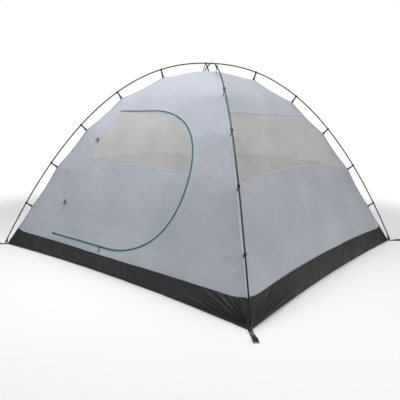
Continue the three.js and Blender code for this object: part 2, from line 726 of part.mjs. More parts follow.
// ---- Tub floor ----
// A point of a tub wall. Share runs from -1 to 1 between the corners, distance is the side's own at
// its corners, and pull is how far the cloth is drawn in there.
function sidePoint(side, share, half, distance, pull, height) {
  const point = new THREE.Vector3(share * half, pull - distance, height);
  return point.applyAxisAngle(UP, (side * Math.PI) / 2);
}

const groundHalf = (side) => (sideHalf(side) * CORNER_REACH) / POLE_REACH;
const groundDistance = (side) => (sideDistance(side) * CORNER_REACH) / POLE_REACH;

function tubWall(side) {
  const rings = [];
  const mitre = sideHalf(side) / sideDistance(side);
  for (let i = 0; i <= TUB_STEPS; i++) {
    const share = (2 * i) / TUB_STEPS - 1;
    const pull = FLOOR_EDGE_PULL[side] * (1 - share ** 2);
    const seamHalf = tubCorner(side) - SEAM_GAP / 2;
    const seam = tubSeamAt(side, share * tubCorner(side));
    const seamDistance = wallDistanceAt(side, seam);
    const half = groundHalf(side) - SEAM_GAP / 2;
    const distance = groundDistance(side);
    rings.push([
      sidePoint(side, share, half - CLOTH * mitre, distance, pull + CLOTH, 0),
      sidePoint(side, share, seamHalf - CLOTH * mitre, seamDistance, CLOTH, seam),
      sidePoint(side, share, seamHalf, seamDistance, 0, seam),
      sidePoint(side, share, half, distance, pull, 0),
    ]);
  }
  return solidFrom(loft(rings));
}

// How far a tub wall leans in over each millimetre of its height, at its corners.
const tubLean = (side) => (groundDistance(side) - wallDistanceAt(side, TUB_HEIGHT)) / TUB_HEIGHT;

function floorPanel() {
  const edge = [];
  const inset = CLOTH * (1 + Math.max(tubLean(0), tubLean(1))) + SEAM_GAP;
  for (let side = 0; side < 4; side++) {
    for (let i = 0; i < TUB_STEPS; i++) {
      const share = (2 * i) / TUB_STEPS - 1;
      const pull = FLOOR_EDGE_PULL[side] * (1 - share ** 2);
      const half = groundHalf(side) - inset;
      const { x, y } = sidePoint(side, share, half, groundDistance(side) - inset, pull, 0);
      edge.push([x, y]);
    }
  }
  return solidFrom(extruded(shapeFrom(edge), CLOTH));
}

// ---- Corner tabs and buckles ----
// In a corner's own frame the origin is under the pole's foot, -Y points out from the tent and X runs
// along the pin of the buckle's hinge.
const BUCKLE_PIN_Z = BUCKLE_THICKNESS / 2 + TAB_LIFT;
const BUCKLE_EYE_WIDTH = TAB_WIDTH - 2 * CHEEK - 1;

function cornerTab() {
  const cornerAt = (height) => POLE_REACH - cornerReachAt(height);
  const lean = (cornerAt(TUB_HEIGHT) - FOOT_INSET) / TUB_HEIGHT;
  const skin = (height) => FOOT_INSET + lean * height - TAB_LIFT - SEAM_GAP;
  const low = TAB_LIFT;
  const high = TAB_LIFT + WEBBING;
  const end = -TAB_REACH + EYE_RADIUS;
  const profileOfTab = shapeFrom([
    [end, low],
    [skin(low), low],
    [skin(TAB_RISE), TAB_RISE],
    [skin(TAB_RISE) - WEBBING, TAB_RISE],
    [skin(high) - WEBBING, high],
    [end, high],
  ]);
  const strip = extruded(profileOfTab, TAB_WIDTH).translate(0, 0, -TAB_WIDTH / 2);
  strip.rotateX(Math.PI / 2).rotateZ(Math.PI / 2);
  const hole = new THREE.CylinderGeometry(TAB_HOLE_RADIUS, TAB_HOLE_RADIUS, 4 * WEBBING, 12);
  const holed = cut(strip, hole.rotateX(Math.PI / 2).translate(0, TIP_RADIUS / 2, high));
  const bracket = geometryFrom(pinBracket(TAB_WIDTH - 2 * CHEEK, BUCKLE_PIN_Z - low));
  return holed.add(solidFrom(bracket.translate(0, -TAB_REACH, BUCKLE_PIN_Z)));
}

// The plug of a side-release buckle on its short strap: a bar, a body, two sprung arms and a guide.
function buckleSolid() {
  const start = -BUCKLE_STRAP;
  const bodyEnd = start - BUCKLE_BODY;
  const end = start - BUCKLE_LENGTH;
  const half = BUCKLE_WIDTH / 2;
  const arm = BUCKLE_WIDTH / 5;
  const outline = new THREE.Shape();
  outline.moveTo(-half, start);
  outline.lineTo(half, start);
  outline.lineTo(half, bodyEnd);
  outline.quadraticCurveTo(half + BUCKLE_BOW, (bodyEnd + end) / 2, half - arm / 2, end);
  outline.lineTo(half - arm, end);
  outline.lineTo(half - arm, bodyEnd);
  outline.lineTo(arm / 2, bodyEnd);
  outline.lineTo(arm / 2, end + arm);
  outline.lineTo(-arm / 2, end + arm);
  outline.lineTo(-arm / 2, bodyEnd);
  outline.lineTo(arm - half, bodyEnd);
  outline.lineTo(arm - half, end);
  outline.lineTo(arm / 2 - half, end);
  outline.quadraticCurveTo(-half - BUCKLE_BOW, (bodyEnd + end) / 2, -half, bodyEnd);
  const slotWidth = BUCKLE_WIDTH - arm;
  const slotAt = (distance) => box(slotWidth, BUCKLE_SLOT, 2 * BUCKLE_THICKNESS, 0, start - distance, 0);
  const blank = extruded(outline, BUCKLE_THICKNESS, 4).translate(0, 0, -BUCKLE_THICKNESS / 2);
  const body = cut(blank, ...BUCKLE_SLOTS.map(slotAt));
  return body.add(eyeStrip(BUCKLE_EYE_WIDTH, BUCKLE_EYE_WIDTH - 1, BUCKLE_STRAP + 1, WEBBING));
}

function cornerFrame(leg) {
  const [signX, signY] = LEG_SIGNS[leg];
  const frame = new THREE.Group();
  frame.position.set((signX * FLOOR_WIDTH) / 2, (signY * FLOOR_DEPTH) / 2, 0);
  frame.rotation.z = Math.atan2(signY * FLOOR_DEPTH, signX * FLOOR_WIDTH) + Math.PI / 2;
  return frame;
}

// ---- The tent ----
const tent = new THREE.Group();

// Everything that swings with the door is attached to this group.
const door = doorFrame();
tent.add(door);

function place(name, solid, material, parent = tent) {
  const mesh = new THREE.Mesh(geometryFrom(solid), material);
  mesh.name = name;
  parent.add(mesh);
  return mesh;
}

function buildTub() {
  place("floor_panel", floorPanel(), MATERIALS.tub);
  SIDE_NAMES.forEach((name, side) => place(name + "_tub_wall", tubWall(side), MATERIALS.tub));
}

function buildWalls() {
  place("door_side_wall", doorWall(), MATERIALS.canopy);
  for (let side = 1; side < 4; side++) {
    const name = SIDE_NAMES[side];
    place(name + "_lower_wall", wallPanel(side, lowerOutline(side)), MATERIALS.canopy);
    place(name + "_mesh", wallPanel(side, meshOutline(side)), MATERIALS.mesh);
    place(name + "_top", wallPanel(side, topOutline()), MATERIALS.canopy);
  }
}

function buildDoor() {
  place("zipper_track_on_wall", zipperTrack(TRACK_OFFSET), MATERIALS.zipper);
  door.attach(place("zipper_track_on_door", zipperTrack(-TRACK_OFFSET), MATERIALS.zipper));
  door.attach(place("door_lower_panel", doorHalf(false), MATERIALS.canopy));
  door.attach(place("door_mesh_window", doorHalf(true), MATERIALS.mesh));
}

function buildSlider() {
  const frame = frontFrame(SLIDER_X, DOOR_BOTTOM);
  const restOnCloth = Math.asin((OUTER_PIN_Z - PULL_GRIP[2] / 2 - REST_GAP) / PULL_LENGTH);
  place("zipper_slider", sliderSolid(), MATERIALS.plastic, frame);
  const outer = place("zipper_pull_outside", pullSolid(), MATERIALS.plastic, frame);
  outer.position.set(0, PULL_PIN_Y, OUTER_PIN_Z);
  outer.rotation.x = restOnCloth;
  const inner = place("zipper_pull_inside", pullSolid(), MATERIALS.plastic, frame);
  inner.position.set(0, PULL_PIN_Y, INNER_PIN_Z);
  inner.rotation.x = Math.PI / 2 - frame.rotation.x;
  tent.add(frame);
}

function buildToggles() {
  const names = ["door_toggle_upper", "door_toggle_lower"];
  TOGGLE_HEIGHTS.forEach((height, i) => {
    const frame = frontFrame(hingeLineAt(height) - TOGGLE_INSET, height);
    const toggle = place(names[i], toggleSolid(), MATERIALS.plastic, frame);
    toggle.position.z = TOGGLE_PIN_Z;
    tent.add(frame);
  });
}

function buildPoles() {
  const parts = ["left_leg", "middle", "right_leg"];
  parts.forEach((part, i) => {
    place("upper_pole_" + part, poleSection(upperPole, i), MATERIALS.pole);
    place("lower_pole_" + part, poleSection(lowerPole, i), MATERIALS.pole);
  });
}

function buildClips() {
  const spacing = 1 / (2 * (CLIPS_PER_LEG + 1));
  LEG_SIGNS.forEach(([signX, signY], leg) => {
    const pole = signX === signY ? upperPole : lowerPole;
    for (let i = 1; i <= CLIPS_PER_LEG; i++) {
      const share = signX < 0 ? i * spacing : 1 - i * spacing;
      const { frame, point, outward } = poleFrame(pole, share);
      const clip = clipSolid(dropToCanopy(point, outward));
      place(LEG_NAMES[leg] + "_clip_" + i, clip, MATERIALS.plastic, frame);
      tent.add(frame);
    }
  });
}

function buildPeakHook() {
  const { frame, point, outward } = poleFrame(upperPole, 0.5 - PEAK_HOOK_OFFSET / upperPole.getLength());
  place("peak_hook", peakHookSolid(), MATERIALS.plastic, frame);
  place("peak_webbing_fork", peakForkSolid(dropToCanopy(point, outward)), MATERIALS.webbing, frame);
  tent.add(frame);
}

function buildCorners() {
  LEG_NAMES.forEach((name, leg) => {
    const frame = cornerFrame(leg);
    place(name + "_corner_tab", cornerTab(), MATERIALS.webbing, frame);
    const buckle = place(name + "_fly_buckle", buckleSolid(), MATERIALS.plastic, frame);
    buckle.position.set(0, -TAB_REACH, BUCKLE_PIN_Z);
    tent.add(frame);
  });
}

buildTub();
buildWalls();
buildDoor();
buildSlider();
buildToggles();
buildPoles();
buildClips();
buildPeakHook();
buildCorners();

export default tent;
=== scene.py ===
"""A clip-up dome tent: the looks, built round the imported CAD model.

Metres, +Z up. The wall with the door faces -Y. Side 0 is that wall, and sides 1, 2 and 3 follow it
anticlockwise, so side 1 faces +X. A wall is drawn in its own frame, as side 0, and then turned.
"""
import json
import math

import bpy
import numpy as np
from mathutils import Matrix, Vector
from mathutils.geometry import delaunay_2d_cdt


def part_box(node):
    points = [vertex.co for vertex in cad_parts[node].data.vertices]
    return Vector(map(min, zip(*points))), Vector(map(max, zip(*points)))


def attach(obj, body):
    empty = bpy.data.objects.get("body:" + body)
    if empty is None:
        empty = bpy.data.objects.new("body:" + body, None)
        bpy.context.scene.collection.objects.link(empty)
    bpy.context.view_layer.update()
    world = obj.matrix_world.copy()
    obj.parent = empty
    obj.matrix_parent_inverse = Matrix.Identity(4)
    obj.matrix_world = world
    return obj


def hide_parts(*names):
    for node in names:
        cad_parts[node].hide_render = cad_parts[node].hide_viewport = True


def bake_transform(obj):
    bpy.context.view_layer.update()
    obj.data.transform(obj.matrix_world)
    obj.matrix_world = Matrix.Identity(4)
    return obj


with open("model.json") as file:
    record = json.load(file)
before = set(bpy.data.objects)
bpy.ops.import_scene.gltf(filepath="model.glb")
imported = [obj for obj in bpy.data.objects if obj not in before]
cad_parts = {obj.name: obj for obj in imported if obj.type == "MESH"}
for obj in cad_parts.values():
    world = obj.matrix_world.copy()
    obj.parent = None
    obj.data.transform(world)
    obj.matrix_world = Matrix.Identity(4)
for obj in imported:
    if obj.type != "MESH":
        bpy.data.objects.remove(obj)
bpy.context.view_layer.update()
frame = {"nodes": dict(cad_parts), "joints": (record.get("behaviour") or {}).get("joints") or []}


# ---- Places and sizes taken from the frame ----
def joint(name):
    return next(j for j in frame["joints"] if j["name"] == name)


TAB_REACH = 0.038  # from a pole's foot out to the fly buckle's hinge
POLE_RADIUS = 0.00425
BUCKLE_PIN = Vector(joint("back_right_buckle_lift")["pos_m"])
OUTWARD = Vector((BUCKLE_PIN.x, BUCKLE_PIN.y, 0)).normalized()
FOOT = Vector((BUCKLE_PIN.x, BUCKLE_PIN.y, 0)) - TAB_REACH * OUTWARD
HALF_X, HALF_Y = FOOT.x, FOOT.y
POLE_REACH = FOOT.length
UPPER_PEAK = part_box("upper_pole_middle")[1].z - POLE_RADIUS
LOWER_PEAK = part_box("lower_pole_middle")[1].z - POLE_RADIUS
CANOPY_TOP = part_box("door_side_wall")[1].z
DOOR_HINGE = joint("door_swing")

# ---- Shapes that the frame's boxes don't tell ----
POLE_BEND = 2.2  # power of the bent pole's curve
CANOPY_DROP = 0.050  # from a pole's centre line to the ridge under it
FOOT_INSET = 0.018
CLIPS_PER_LEG = 5
TUB_HEIGHT = 0.108
TUB_RISE = (0.004, 0.030, 0.030, 0.030)
FLOOR_EDGE_PULL = (0.055, 0.035, 0.055, 0.035)
TUB_CURL = 0.012  # how much the seam curls up at the tub's corners
TUB_CURL_WIDTH = 0.055
MESH_SEAM = 0.985  # lower edge of the solid cloth at the top
MESH_ARC = 0.650  # top of the arc under the mesh
MESH_ARC_DROP = 0.050
MESH_ARC_REACH = 0.700
DOOR_BOTTOM, DOOR_TOP = 0.154, 0.990
HINGE_TOP_X, HINGE_BOTTOM_X = -0.400, -0.590
DOOR_CREST_X, DOOR_TOE_X = -0.040, 0.0
DOOR_SIDE_X, DOOR_SIDE_Z = 0.458, 0.560
UPPER_ROUND = (0.56, 0.65)  # how far the round stretch's handles reach, across and along
LOWER_ROUND = (0.63, 0.57)
ZIP_END = 0.045  # the zipper stops this far from the hinge seam
ZIP_HALF_GAP = 0.005  # from the zipper's middle to the cloth on either side
TOGGLE_HEIGHTS = (0.792, 0.368)

HALVES = (HALF_X, HALF_Y, HALF_X, HALF_Y)
DISTANCES = (HALF_Y, HALF_X, HALF_Y, HALF_X)
SIDES = ("door_side", "right_side", "back_side", "left_side")
LEGS = ("front_left", "front_right", "back_right", "back_left")
LEG_SIGNS = ((-1, -1), (1, -1), (1, 1), (-1, 1))
UP = np.array([0.0, 0.0, 1.0])

# ---- Camera ----
CAMERA_PLACE = (2.027, -2.616, 0.911)
CAMERA_AZIMUTH, CAMERA_ELEVATION, CAMERA_ROLL = 38.62, 9.93, 1.00
CAMERA_LENS = 39.5


def make_camera():
    azimuth, elevation, roll = (math.radians(a) for a in (CAMERA_AZIMUTH, CAMERA_ELEVATION, CAMERA_ROLL))
    back = Vector((
        math.sin(azimuth) * math.cos(elevation),
        -math.cos(azimuth) * math.cos(elevation),
        math.sin(elevation),
    ))
    right = Vector((0, 0, 1)).cross(back).normalized()
    up = back.cross(right)
    tilted_right = math.cos(roll) * right + math.sin(roll) * up
    tilted_up = math.cos(roll) * up - math.sin(roll) * right
    data = bpy.data.cameras.new("camera")
    data.sensor_width = 36.0
    data.lens = CAMERA_LENS
    camera = bpy.data.objects.new("camera", data)
    bpy.context.scene.collection.objects.link(camera)
    turn = Matrix((tilted_right, tilted_up, back)).transposed().to_4x4()
    camera.matrix_world = Matrix.Translation(CAMERA_PLACE) @ turn
    bpy.context.scene.camera = camera


make_camera()


# ---- Numbers ----
def smoothstep(low, high, value):
    """From 0 at low to 1 at high, level at both ends."""
    t = np.clip((value - low) / (high - low), 0.0, 1.0)
    return t * t * (3.0 - 2.0 * t)


def unit(vectors):
    vectors = np.asarray(vectors, float)
    return vectors / np.linalg.norm(vectors, axis=-1, keepdims=True)


def lengths_along(points):
    """The length of a line up to each of its points."""
    return np.concatenate([[0], np.cumsum(np.linalg.norm(np.diff(points, axis=0), axis=1))])


def bump(value, middle, width):
    """A smooth bump of height 1 round a middle value."""
    return np.exp(-((value - middle) / width) ** 2)


def resampled(points, step):
    """The same line in even steps of about that length."""
    points = np.asarray(points, float)
    lengths = lengths_along(points)
    count = max(2, int(round(lengths[-1] / step)) + 1)
    stops = np.linspace(0, lengths[-1], count)
    return np.column_stack([np.interp(stops, lengths, points[:, i]) for i in range(points.shape[1])])


def bezier(a, b, c, d, count=24):
    """A cubic curve from a to d, with b and c as its handles."""
    t = np.linspace(0, 1, count)[:, None]
    a, b, c, d = (np.array(p, float) for p in (a, b, c, d))
    return (1 - t) ** 3 * a + 3 * (1 - t) ** 2 * t * b + 3 * (1 - t) * t ** 2 * c + t ** 3 * d


def inside(points, polygon):
    """Which points lie in the polygon, by counting the edges to their right."""
    x, y = points[:, 0], points[:, 1]
    found = np.zeros(len(points), bool)
    for (ax, ay), (bx, by) in zip(polygon, np.roll(polygon, -1, axis=0)):
        if ay == by:
            continue
        crosses = (ay > y) != (by > y)
        found ^= crosses & (x < (bx - ax) * (y - ay) / (by - ay) + ax)
    return found


# ---- Meshes ----
def mesh_object(name, points, faces, material, uvs=None):
    """A smooth-shaded object. UVs are given for each point."""
    mesh = bpy.data.meshes.new(name)
    mesh.from_pydata([tuple(p) for p in np.asarray(points, float)], [], [tuple(f) for f in faces])
    mesh.polygons.foreach_set("use_smooth", [True] * len(mesh.polygons))
    if uvs is not None:
        layer = mesh.uv_layers.new(name="UVMap")
        loops = np.zeros(len(mesh.loops), np.int32)
        mesh.loops.foreach_get("vertex_index", loops)
        layer.data.foreach_set("uv", np.asarray(uvs, float)[loops].ravel())
    mesh.materials.append(material)
    mesh.update()
    made = bpy.data.objects.new(name, mesh)
    bpy.context.scene.collection.objects.link(made)
    return made


def grid_faces(rows, columns, closed=False):
    """Four-sided faces of a grid of rows, each row joined to itself if closed."""
    faces = []
    for i in range(rows - 1):
        row, above = i * columns, (i + 1) * columns
        for j in range(columns if closed else columns - 1):
            k = (j + 1) % columns
            faces.append((row + j, row + k, above + k, above + j))
    return faces


def rod_faces(rings, sides):
    """Faces of a closed rod: its skin and its two ends."""
    last = (rings - 1) * sides
    ends = [tuple(range(sides))[::-1], tuple(range(last, last + sides))]
    return grid_faces(rings, sides, closed=True) + ends


def frames_along(points):
    """Two sides at each point of a line, square to it and turning as little as they can."""
    tangents = unit(np.gradient(points, axis=0))
    side = UP
    if abs(np.dot(side, tangents[0])) > 0.9:
        side = np.array([1.0, 0.0, 0.0])
    across = []
    for tangent in tangents:
        side = side - np.dot(side, tangent) * tangent
        side = side / np.linalg.norm(side)
        across.append(side)
    across = np.array(across)
    return across, np.cross(tangents, across)


def tube_mesh(points, radii, sides=12):
    """Points and faces of a round rod along a line. Its radius may change."""
    points = np.asarray(points, float)
    radii = np.broadcast_to(radii, len(points))
    a, b = frames_along(points)
    angles = np.linspace(0, 2 * math.pi, sides, endpoint=False)[None, :, None]
    ring = np.cos(angles) * a[:, None, :] + np.sin(angles) * b[:, None, :]
    skin = (points[:, None, :] + ring * radii[:, None, None]).reshape(-1, 3)
    return skin, rod_faces(len(points), sides)


def strip_mesh(points, normals, width, thickness, rise=0.0):
    """A flat band along a line, lying on a surface with those normals. Its section is a box with
    the two upper edges cut off. Gives points, faces and UVs in metres."""
    points, normals = np.asarray(points, float), unit(normals)
    tangents = unit(np.gradient(points, axis=0))
    across = unit(np.cross(tangents, normals))
    half, cut = width / 2, min(width * 0.2, thickness * 0.7)
    section = np.array([
        (-half, 0), (half, 0), (half, thickness - cut), (half - cut, thickness),
        (-half + cut, thickness), (-half, thickness - cut),
    ])
    base = points + normals * rise
    skin = base[:, None] + section[None, :, :1] * across[:, None] + section[None, :, 1:] * normals[:, None]
    count = len(section)
    uvs = np.stack([
        np.broadcast_to(section[None, :, 0], (len(points), count)),
        np.broadcast_to(lengths_along(points)[:, None], (len(points), count)),
    ], axis=-1).reshape(-1, 2)
    faces = [face[::-1] for face in rod_faces(len(points), count)]
    return skin.reshape(-1, 3), faces, uvs


def joined_mesh(parts):
    """Several (points, faces) as one."""
    points, faces, start = [], [], 0
    for part_points, part_faces in parts:
        points.append(np.asarray(part_points, float))
        faces += [tuple(i + start for i in face) for face in part_faces]
        start += len(part_points)
    return np.concatenate(points), faces


def loft_mesh(rings):
    """A closed skin through rings of equally many points."""
    rings = np.asarray(rings, float)
    return rings.reshape(-1, 3), rod_faces(*rings.shape[:2])


def rounded_ring(width, thickness, count=16, power=4):
    """A rounded rectangle round the origin, in X and Y."""
    angles = np.linspace(0, 2 * math.pi, count, endpoint=False) + math.pi / count
    c, s = np.cos(angles), np.sin(angles)
    x = np.sign(c) * np.abs(c) ** (2 / power) * width / 2
    y = np.sign(s) * np.abs(s) ** (2 / power) * thickness / 2
    return np.column_stack([x, y])


# ---- Materials ----
def linear(colour):
    """A colour given as a web colour, in the renderer's own numbers."""
    parts = [int(colour[i:i + 2], 16) / 255 for i in (1, 3, 5)]
    return tuple(p / 12.92 if p <= 0.04045 else ((p + 0.055) / 1.055) ** 2.4 for p in parts) + (1.0,)


class Painter:
    """Builds one material's nodes."""

    def __init__(self, name):
        self.material = bpy.data.materials.new(name)
        self.material.use_nodes = True
        self.tree = self.material.node_tree
        self.shader = self.tree.nodes["Principled BSDF"]
        self.output = self.tree.nodes["Material Output"]
        self.place = self.tree.nodes.new("ShaderNodeTexCoord")

    def add(self, kind, inputs=None, **settings):
        """A node, with its settings, and a value or a link for each named input."""
        node = self.tree.nodes.new(kind)
        for key, value in settings.items():
            setattr(node, key, value)
        for key, value in (inputs or {}).items():
            self.feed(node.inputs[key], value)
        return node

    def feed(self, socket, value):
        if isinstance(value, bpy.types.NodeSocket):
            self.tree.links.new(value, socket)
        else:
            socket.default_value = value

    def maths(self, operation, a, b=0.0):
        return self.add("ShaderNodeMath", {0: a, 1: b}, operation=operation).outputs[0]

    def axes(self, space):
        return self.add("ShaderNodeSeparateXYZ", {0: self.place.outputs[space]}).outputs

    def wave(self, level, pitch):
        return self.maths("SINE", self.maths("MULTIPLY", level, 2 * math.pi / pitch))

    def noise(self, scale, detail=3.0):
        return self.add("ShaderNodeTexNoise", {
            "Vector": self.place.outputs["Object"], "Scale": scale, "Detail": detail, "Roughness": 0.5,
        }).outputs["Fac"]

    def spread(self, value, start, end, low, high, **settings):
        """A value between start and end, stretched to lie between low and high."""
        return self.add("ShaderNodeMapRange", {
            "Value": value, "From Min": start, "From Max": end, "To Min": low, "To Max": high,
        }, **settings).outputs[0]

    def colour_mix(self, share, first, second):
        return self.add("ShaderNodeMix", {0: share, 6: first, 7: second}, data_type="RGBA").outputs[2]

    def ramp(self, value, low, high, dark, light):
        return self.colour_mix(self.spread(value, low, high, 0.0, 1.0), linear(dark), linear(light))

    def surface_mix(self, share, first, second):
        """Makes the surface a mix of two shaders, with that share of the second."""
        mix = self.add("ShaderNodeMixShader", {0: share, 1: first.outputs[0], 2: second.outputs[0]})
        self.feed(self.output.inputs["Surface"], mix.outputs[0])
        return mix

    def set(self, **values):
        for key, value in values.items():
            self.feed(self.shader.inputs[key.replace("_", " ")], value)

    def bumps(self, *layers):
        """Bumps from (height, distance in metres) pairs, one on top of the other."""
        normal = None
        for height, distance in layers:
            inputs = {"Height": height, "Distance": distance, "Strength": 1.0}
            if normal is not None:
                inputs["Normal"] = normal
            normal = self.add("ShaderNodeBump", inputs).outputs[0]
        self.feed(self.shader.inputs["Normal"], normal)
        return normal

    def weave(self, thread):
        """Crossed threads of that pitch, on a wall that faces any way."""
        x, y, z = self.axes("Object")
        return self.maths("MULTIPLY", self.wave(self.maths("ADD", x, y), thread), self.wave(z, thread))

    def show_through(self, share, colour, normal=None):
        """Lets that share of the light through the cloth."""
        inputs = {"Color": colour}
        if normal is not None:
            inputs["Normal"] = normal
        return self.surface_mix(share, self.shader, self.add("ShaderNodeBsdfTranslucent", inputs))


def canopy_cloth(name, dark, light, share=0.35):
    """Plain-woven uncoated polyester: matt, slightly crumpled, lit from inside as well."""
    p = Painter(name)
    cloudy = p.ramp(p.noise(3.5, 4.0), 0.35, 0.65, dark, light)
    p.set(Base_Color=cloudy, Roughness=0.72, Specular_IOR_Level=0.25)
    p.set(Sheen_Weight=0.15, Sheen_Roughness=0.4)
    crumples = (p.noise(9.0, 4.0), 0.0060), (p.noise(26.0), 0.0020), (p.noise(70.0), 0.0006)
    normal = p.bumps(*crumples, (p.weave(0.0011), 0.00006))
    p.show_through(share, cloudy, normal)
    return p.material


def insect_mesh():
    """Fine see-through mesh: threads with gaps between them."""
    p = Painter("insect_mesh")
    tone = p.ramp(p.noise(5.0), 0.35, 0.65, "#bbb9b7", "#c6c4c2")
    p.set(Base_Color=tone, Roughness=0.8, Sheen_Weight=0.2, Specular_IOR_Level=0.2)
    through = p.show_through(0.35, tone, p.bumps((p.noise(8.0), 0.006)))
    threads = p.spread(p.weave(0.0022), -1.0, 1.0, 0.72, 0.88)
    p.surface_mix(threads, p.add("ShaderNodeBsdfTransparent"), through)
    return p.material


def tub_cloth():
    """Coated floor cloth: dark, with a dull shine along its folds."""
    p = Painter("tub_cloth")
    tone = p.ramp(p.noise(4.0, 4.0), 0.3, 0.7, "#262727", "#303131")
    rough = p.spread(p.noise(22.0), 0.3, 0.7, 0.46, 0.60)
    p.set(Base_Color=tone, Roughness=rough, Specular_IOR_Level=0.20)
    p.bumps((p.noise(11.0, 4.0), 0.012), (p.noise(60.0), 0.0015), (p.weave(0.0016), 0.00012))
    return p.material


STITCH_ROW = 0.0025  # from a seam's middle to each row of stitches
THREAD = 0.0006


def seam_cloth(name, dark, light, pitch=0.003):
    """A folded seam or a tape, with two rows of stitches along it. UVs are in metres."""
    p = Painter(name)
    across, along, _ = p.axes("UV")
    off_row = p.maths("ABSOLUTE", p.maths("SUBTRACT", p.maths("ABSOLUTE", across), STITCH_ROW))
    on_row = p.maths("LESS_THAN", off_row, THREAD)
    stitch = p.maths("MULTIPLY", on_row, p.maths("GREATER_THAN", p.wave(along, pitch), -0.3))
    cloth = p.ramp(p.noise(8.0), 0.3, 0.7, dark, light)
    tone = p.colour_mix(p.maths("MULTIPLY", stitch, 0.5), cloth, linear(dark))
    p.set(Base_Color=tone, Roughness=0.75, Sheen_Weight=0.1)
    p.bumps((p.noise(60.0), 0.0012), (stitch, 0.0004))
    return p.material


def zip_tape():
    """Woven tape, ribbed across, with UVs in metres."""
    p = Painter("zip_tape")
    ribs = p.wave(p.axes("UV")[1], 0.0012)
    tone = p.ramp(p.noise(40.0), 0.3, 0.7, "#0f5857", "#177372")
    p.set(Base_Color=tone, Roughness=0.65, Sheen_Weight=0.2)
    p.bumps((ribs, 0.0002))
    return p.material


def plastic(name, colour, light, rough=0.38):
    """Moulded plastic, a little uneven, as it comes out of the tool."""
    p = Painter(name)
    tone = p.ramp(p.noise(45.0), 0.35, 0.65, colour, light)
    p.set(Base_Color=tone, Roughness=p.spread(p.noise(160.0, 2.0), 0.3, 0.7, rough - 0.06, rough + 0.08))
    p.bumps((p.noise(700.0, 2.0), 0.00012))
    return p.material


def webbing():
    """Woven polyester webbing, ribbed across, with UVs in metres."""
    p = Painter("webbing")
    across, along, _ = p.axes("UV")
    tone = p.ramp(p.noise(60.0), 0.3, 0.7, "#151b1b", "#242c2c")
    p.set(Base_Color=tone, Roughness=0.7, Sheen_Weight=0.3)
    p.bumps((p.maths("MULTIPLY", p.wave(across, 0.0022), p.wave(along, 0.0018)), 0.0004))
    return p.material


def anodised():
    """Green anodised tube, with a painted reflection of the dark tub that makes it darker towards the
    ground.
    """
    p = Painter("anodised_tube")
    tone = p.ramp(p.noise(12.0, 2.0), 0.3, 0.7, "#15302b", "#234840")
    rough = p.spread(p.noise(90.0, 2.0), 0.3, 0.7, 0.24, 0.34)
    # Painted reflection: from 0.40 m down to 0.10 m the tube's colour goes to near-black #0d1413, standing
    # in for the dark tub reflected in it.
    clear_of_painted_reflection = p.spread(p.axes("Object")[2], 0.10, 0.40, 0.0, 1.0)
    shaded = p.colour_mix(clear_of_painted_reflection, linear("#0d1413"), tone)
    p.set(Base_Color=shaded, Metallic=0.75, Roughness=rough)
    p.bumps((p.noise(400.0, 2.0), 0.00005))
    return p.material


def bare_metal():
    """Plain brushed metal."""
    p = Painter("bare_metal")
    tone = p.ramp(p.noise(120.0), 0.3, 0.7, "#8d9293", "#b9bdbd")
    p.set(Base_Color=tone, Metallic=1.0, Roughness=0.32)
    p.bumps((p.noise(500.0, 2.0), 0.0001))
    return p.material


CANOPY = canopy_cloth("canopy_cloth", "#b3b6be", "#bcbfc7")
MESH = insect_mesh()
TUB = tub_cloth()
SEAM = seam_cloth("canopy_seam", "#9a9da4", "#a5a8af")
TUB_SEAM = seam_cloth("tub_seam", "#252626", "#303131")
ZIP_TAPE = zip_tape()
COIL = plastic("zip_coil", "#0f4848", "#165c5c", 0.35)
BLACK = plastic("black_plastic", "#0f1717", "#1b2625")
WEBBING = webbing()
TUBE = anodised()
METAL = bare_metal()
METAL_DARK = plastic("painted_metal", "#1b2424", "#2a3534", 0.33)
TAB_CLOTH = seam_cloth("clip_webbing", "#1a2222", "#2c3736", 0.002)


def own(piece, body, slot, *nodes):
    """Says where a piece belongs: its body, and the CAD nodes that it stands for, which it hides. Its
    finish, slot, is not used.
    """
    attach(piece, body)
    if nodes:
        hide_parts(*nodes)
    return piece


# ---- Poles ----
def bent_pole(direction, peak):
    """A pole's centre line from foot to foot, with the length up to each of its points."""
    share = np.linspace(-1, 1, 4001)
    height = peak * (1 - np.abs(share) ** POLE_BEND)
    points = np.column_stack([share * HALF_X, direction * share * HALF_Y, height])
    lengths = lengths_along(points)
    return {"points": points, "lengths": lengths, "length": lengths[-1], "shares": np.abs(share)}


def on_pole(pole, distance):
    """The point of a pole at a length from its left foot."""
    return np.array([np.interp(distance, pole["lengths"], pole["points"][:, i]) for i in range(3)]).T


def pole_frame(pole, distance):
    """Point, tangent, sideways and outward directions of a pole at that length."""
    point = on_pole(pole, distance)
    tangent = unit(on_pole(pole, distance + 1e-3) - on_pole(pole, distance - 1e-3))
    across = unit(np.cross(UP, tangent))
    return point, tangent, across, np.cross(tangent, across)


UPPER_POLE = bent_pole(1, UPPER_PEAK)
LOWER_POLE = bent_pole(-1, LOWER_PEAK)

# ---- Canopy shape ----
# A wall is drawn flat, in (x, s): x runs along it from its middle, and s up it from the ground, along
# the cloth. Both ridges of a wall share one profile, in (reach, height) down the floor's diagonal.
SAG = 0.022  # of a span between two clips
BOW = 0.014  # how far a wall hangs inside the line from ridge to ridge
BOW_FOOT = 0.16
RIPPLE = 0.0011  # depths of the wrinkles
CLIP_FAN = 0.0028
PUCKER = 0.0007
TUB_FOLD = 0.0016


def clip_shares():
    """Where the clips hold a leg, as shares of the floor's half diagonal, from the lowest up."""
    stops = LOWER_POLE["length"] * np.arange(1, CLIPS_PER_LEG + 1) / (2 * (CLIPS_PER_LEG + 1))
    return np.interp(stops, LOWER_POLE["lengths"], LOWER_POLE["shares"])


CLIP_SHARES = clip_shares()


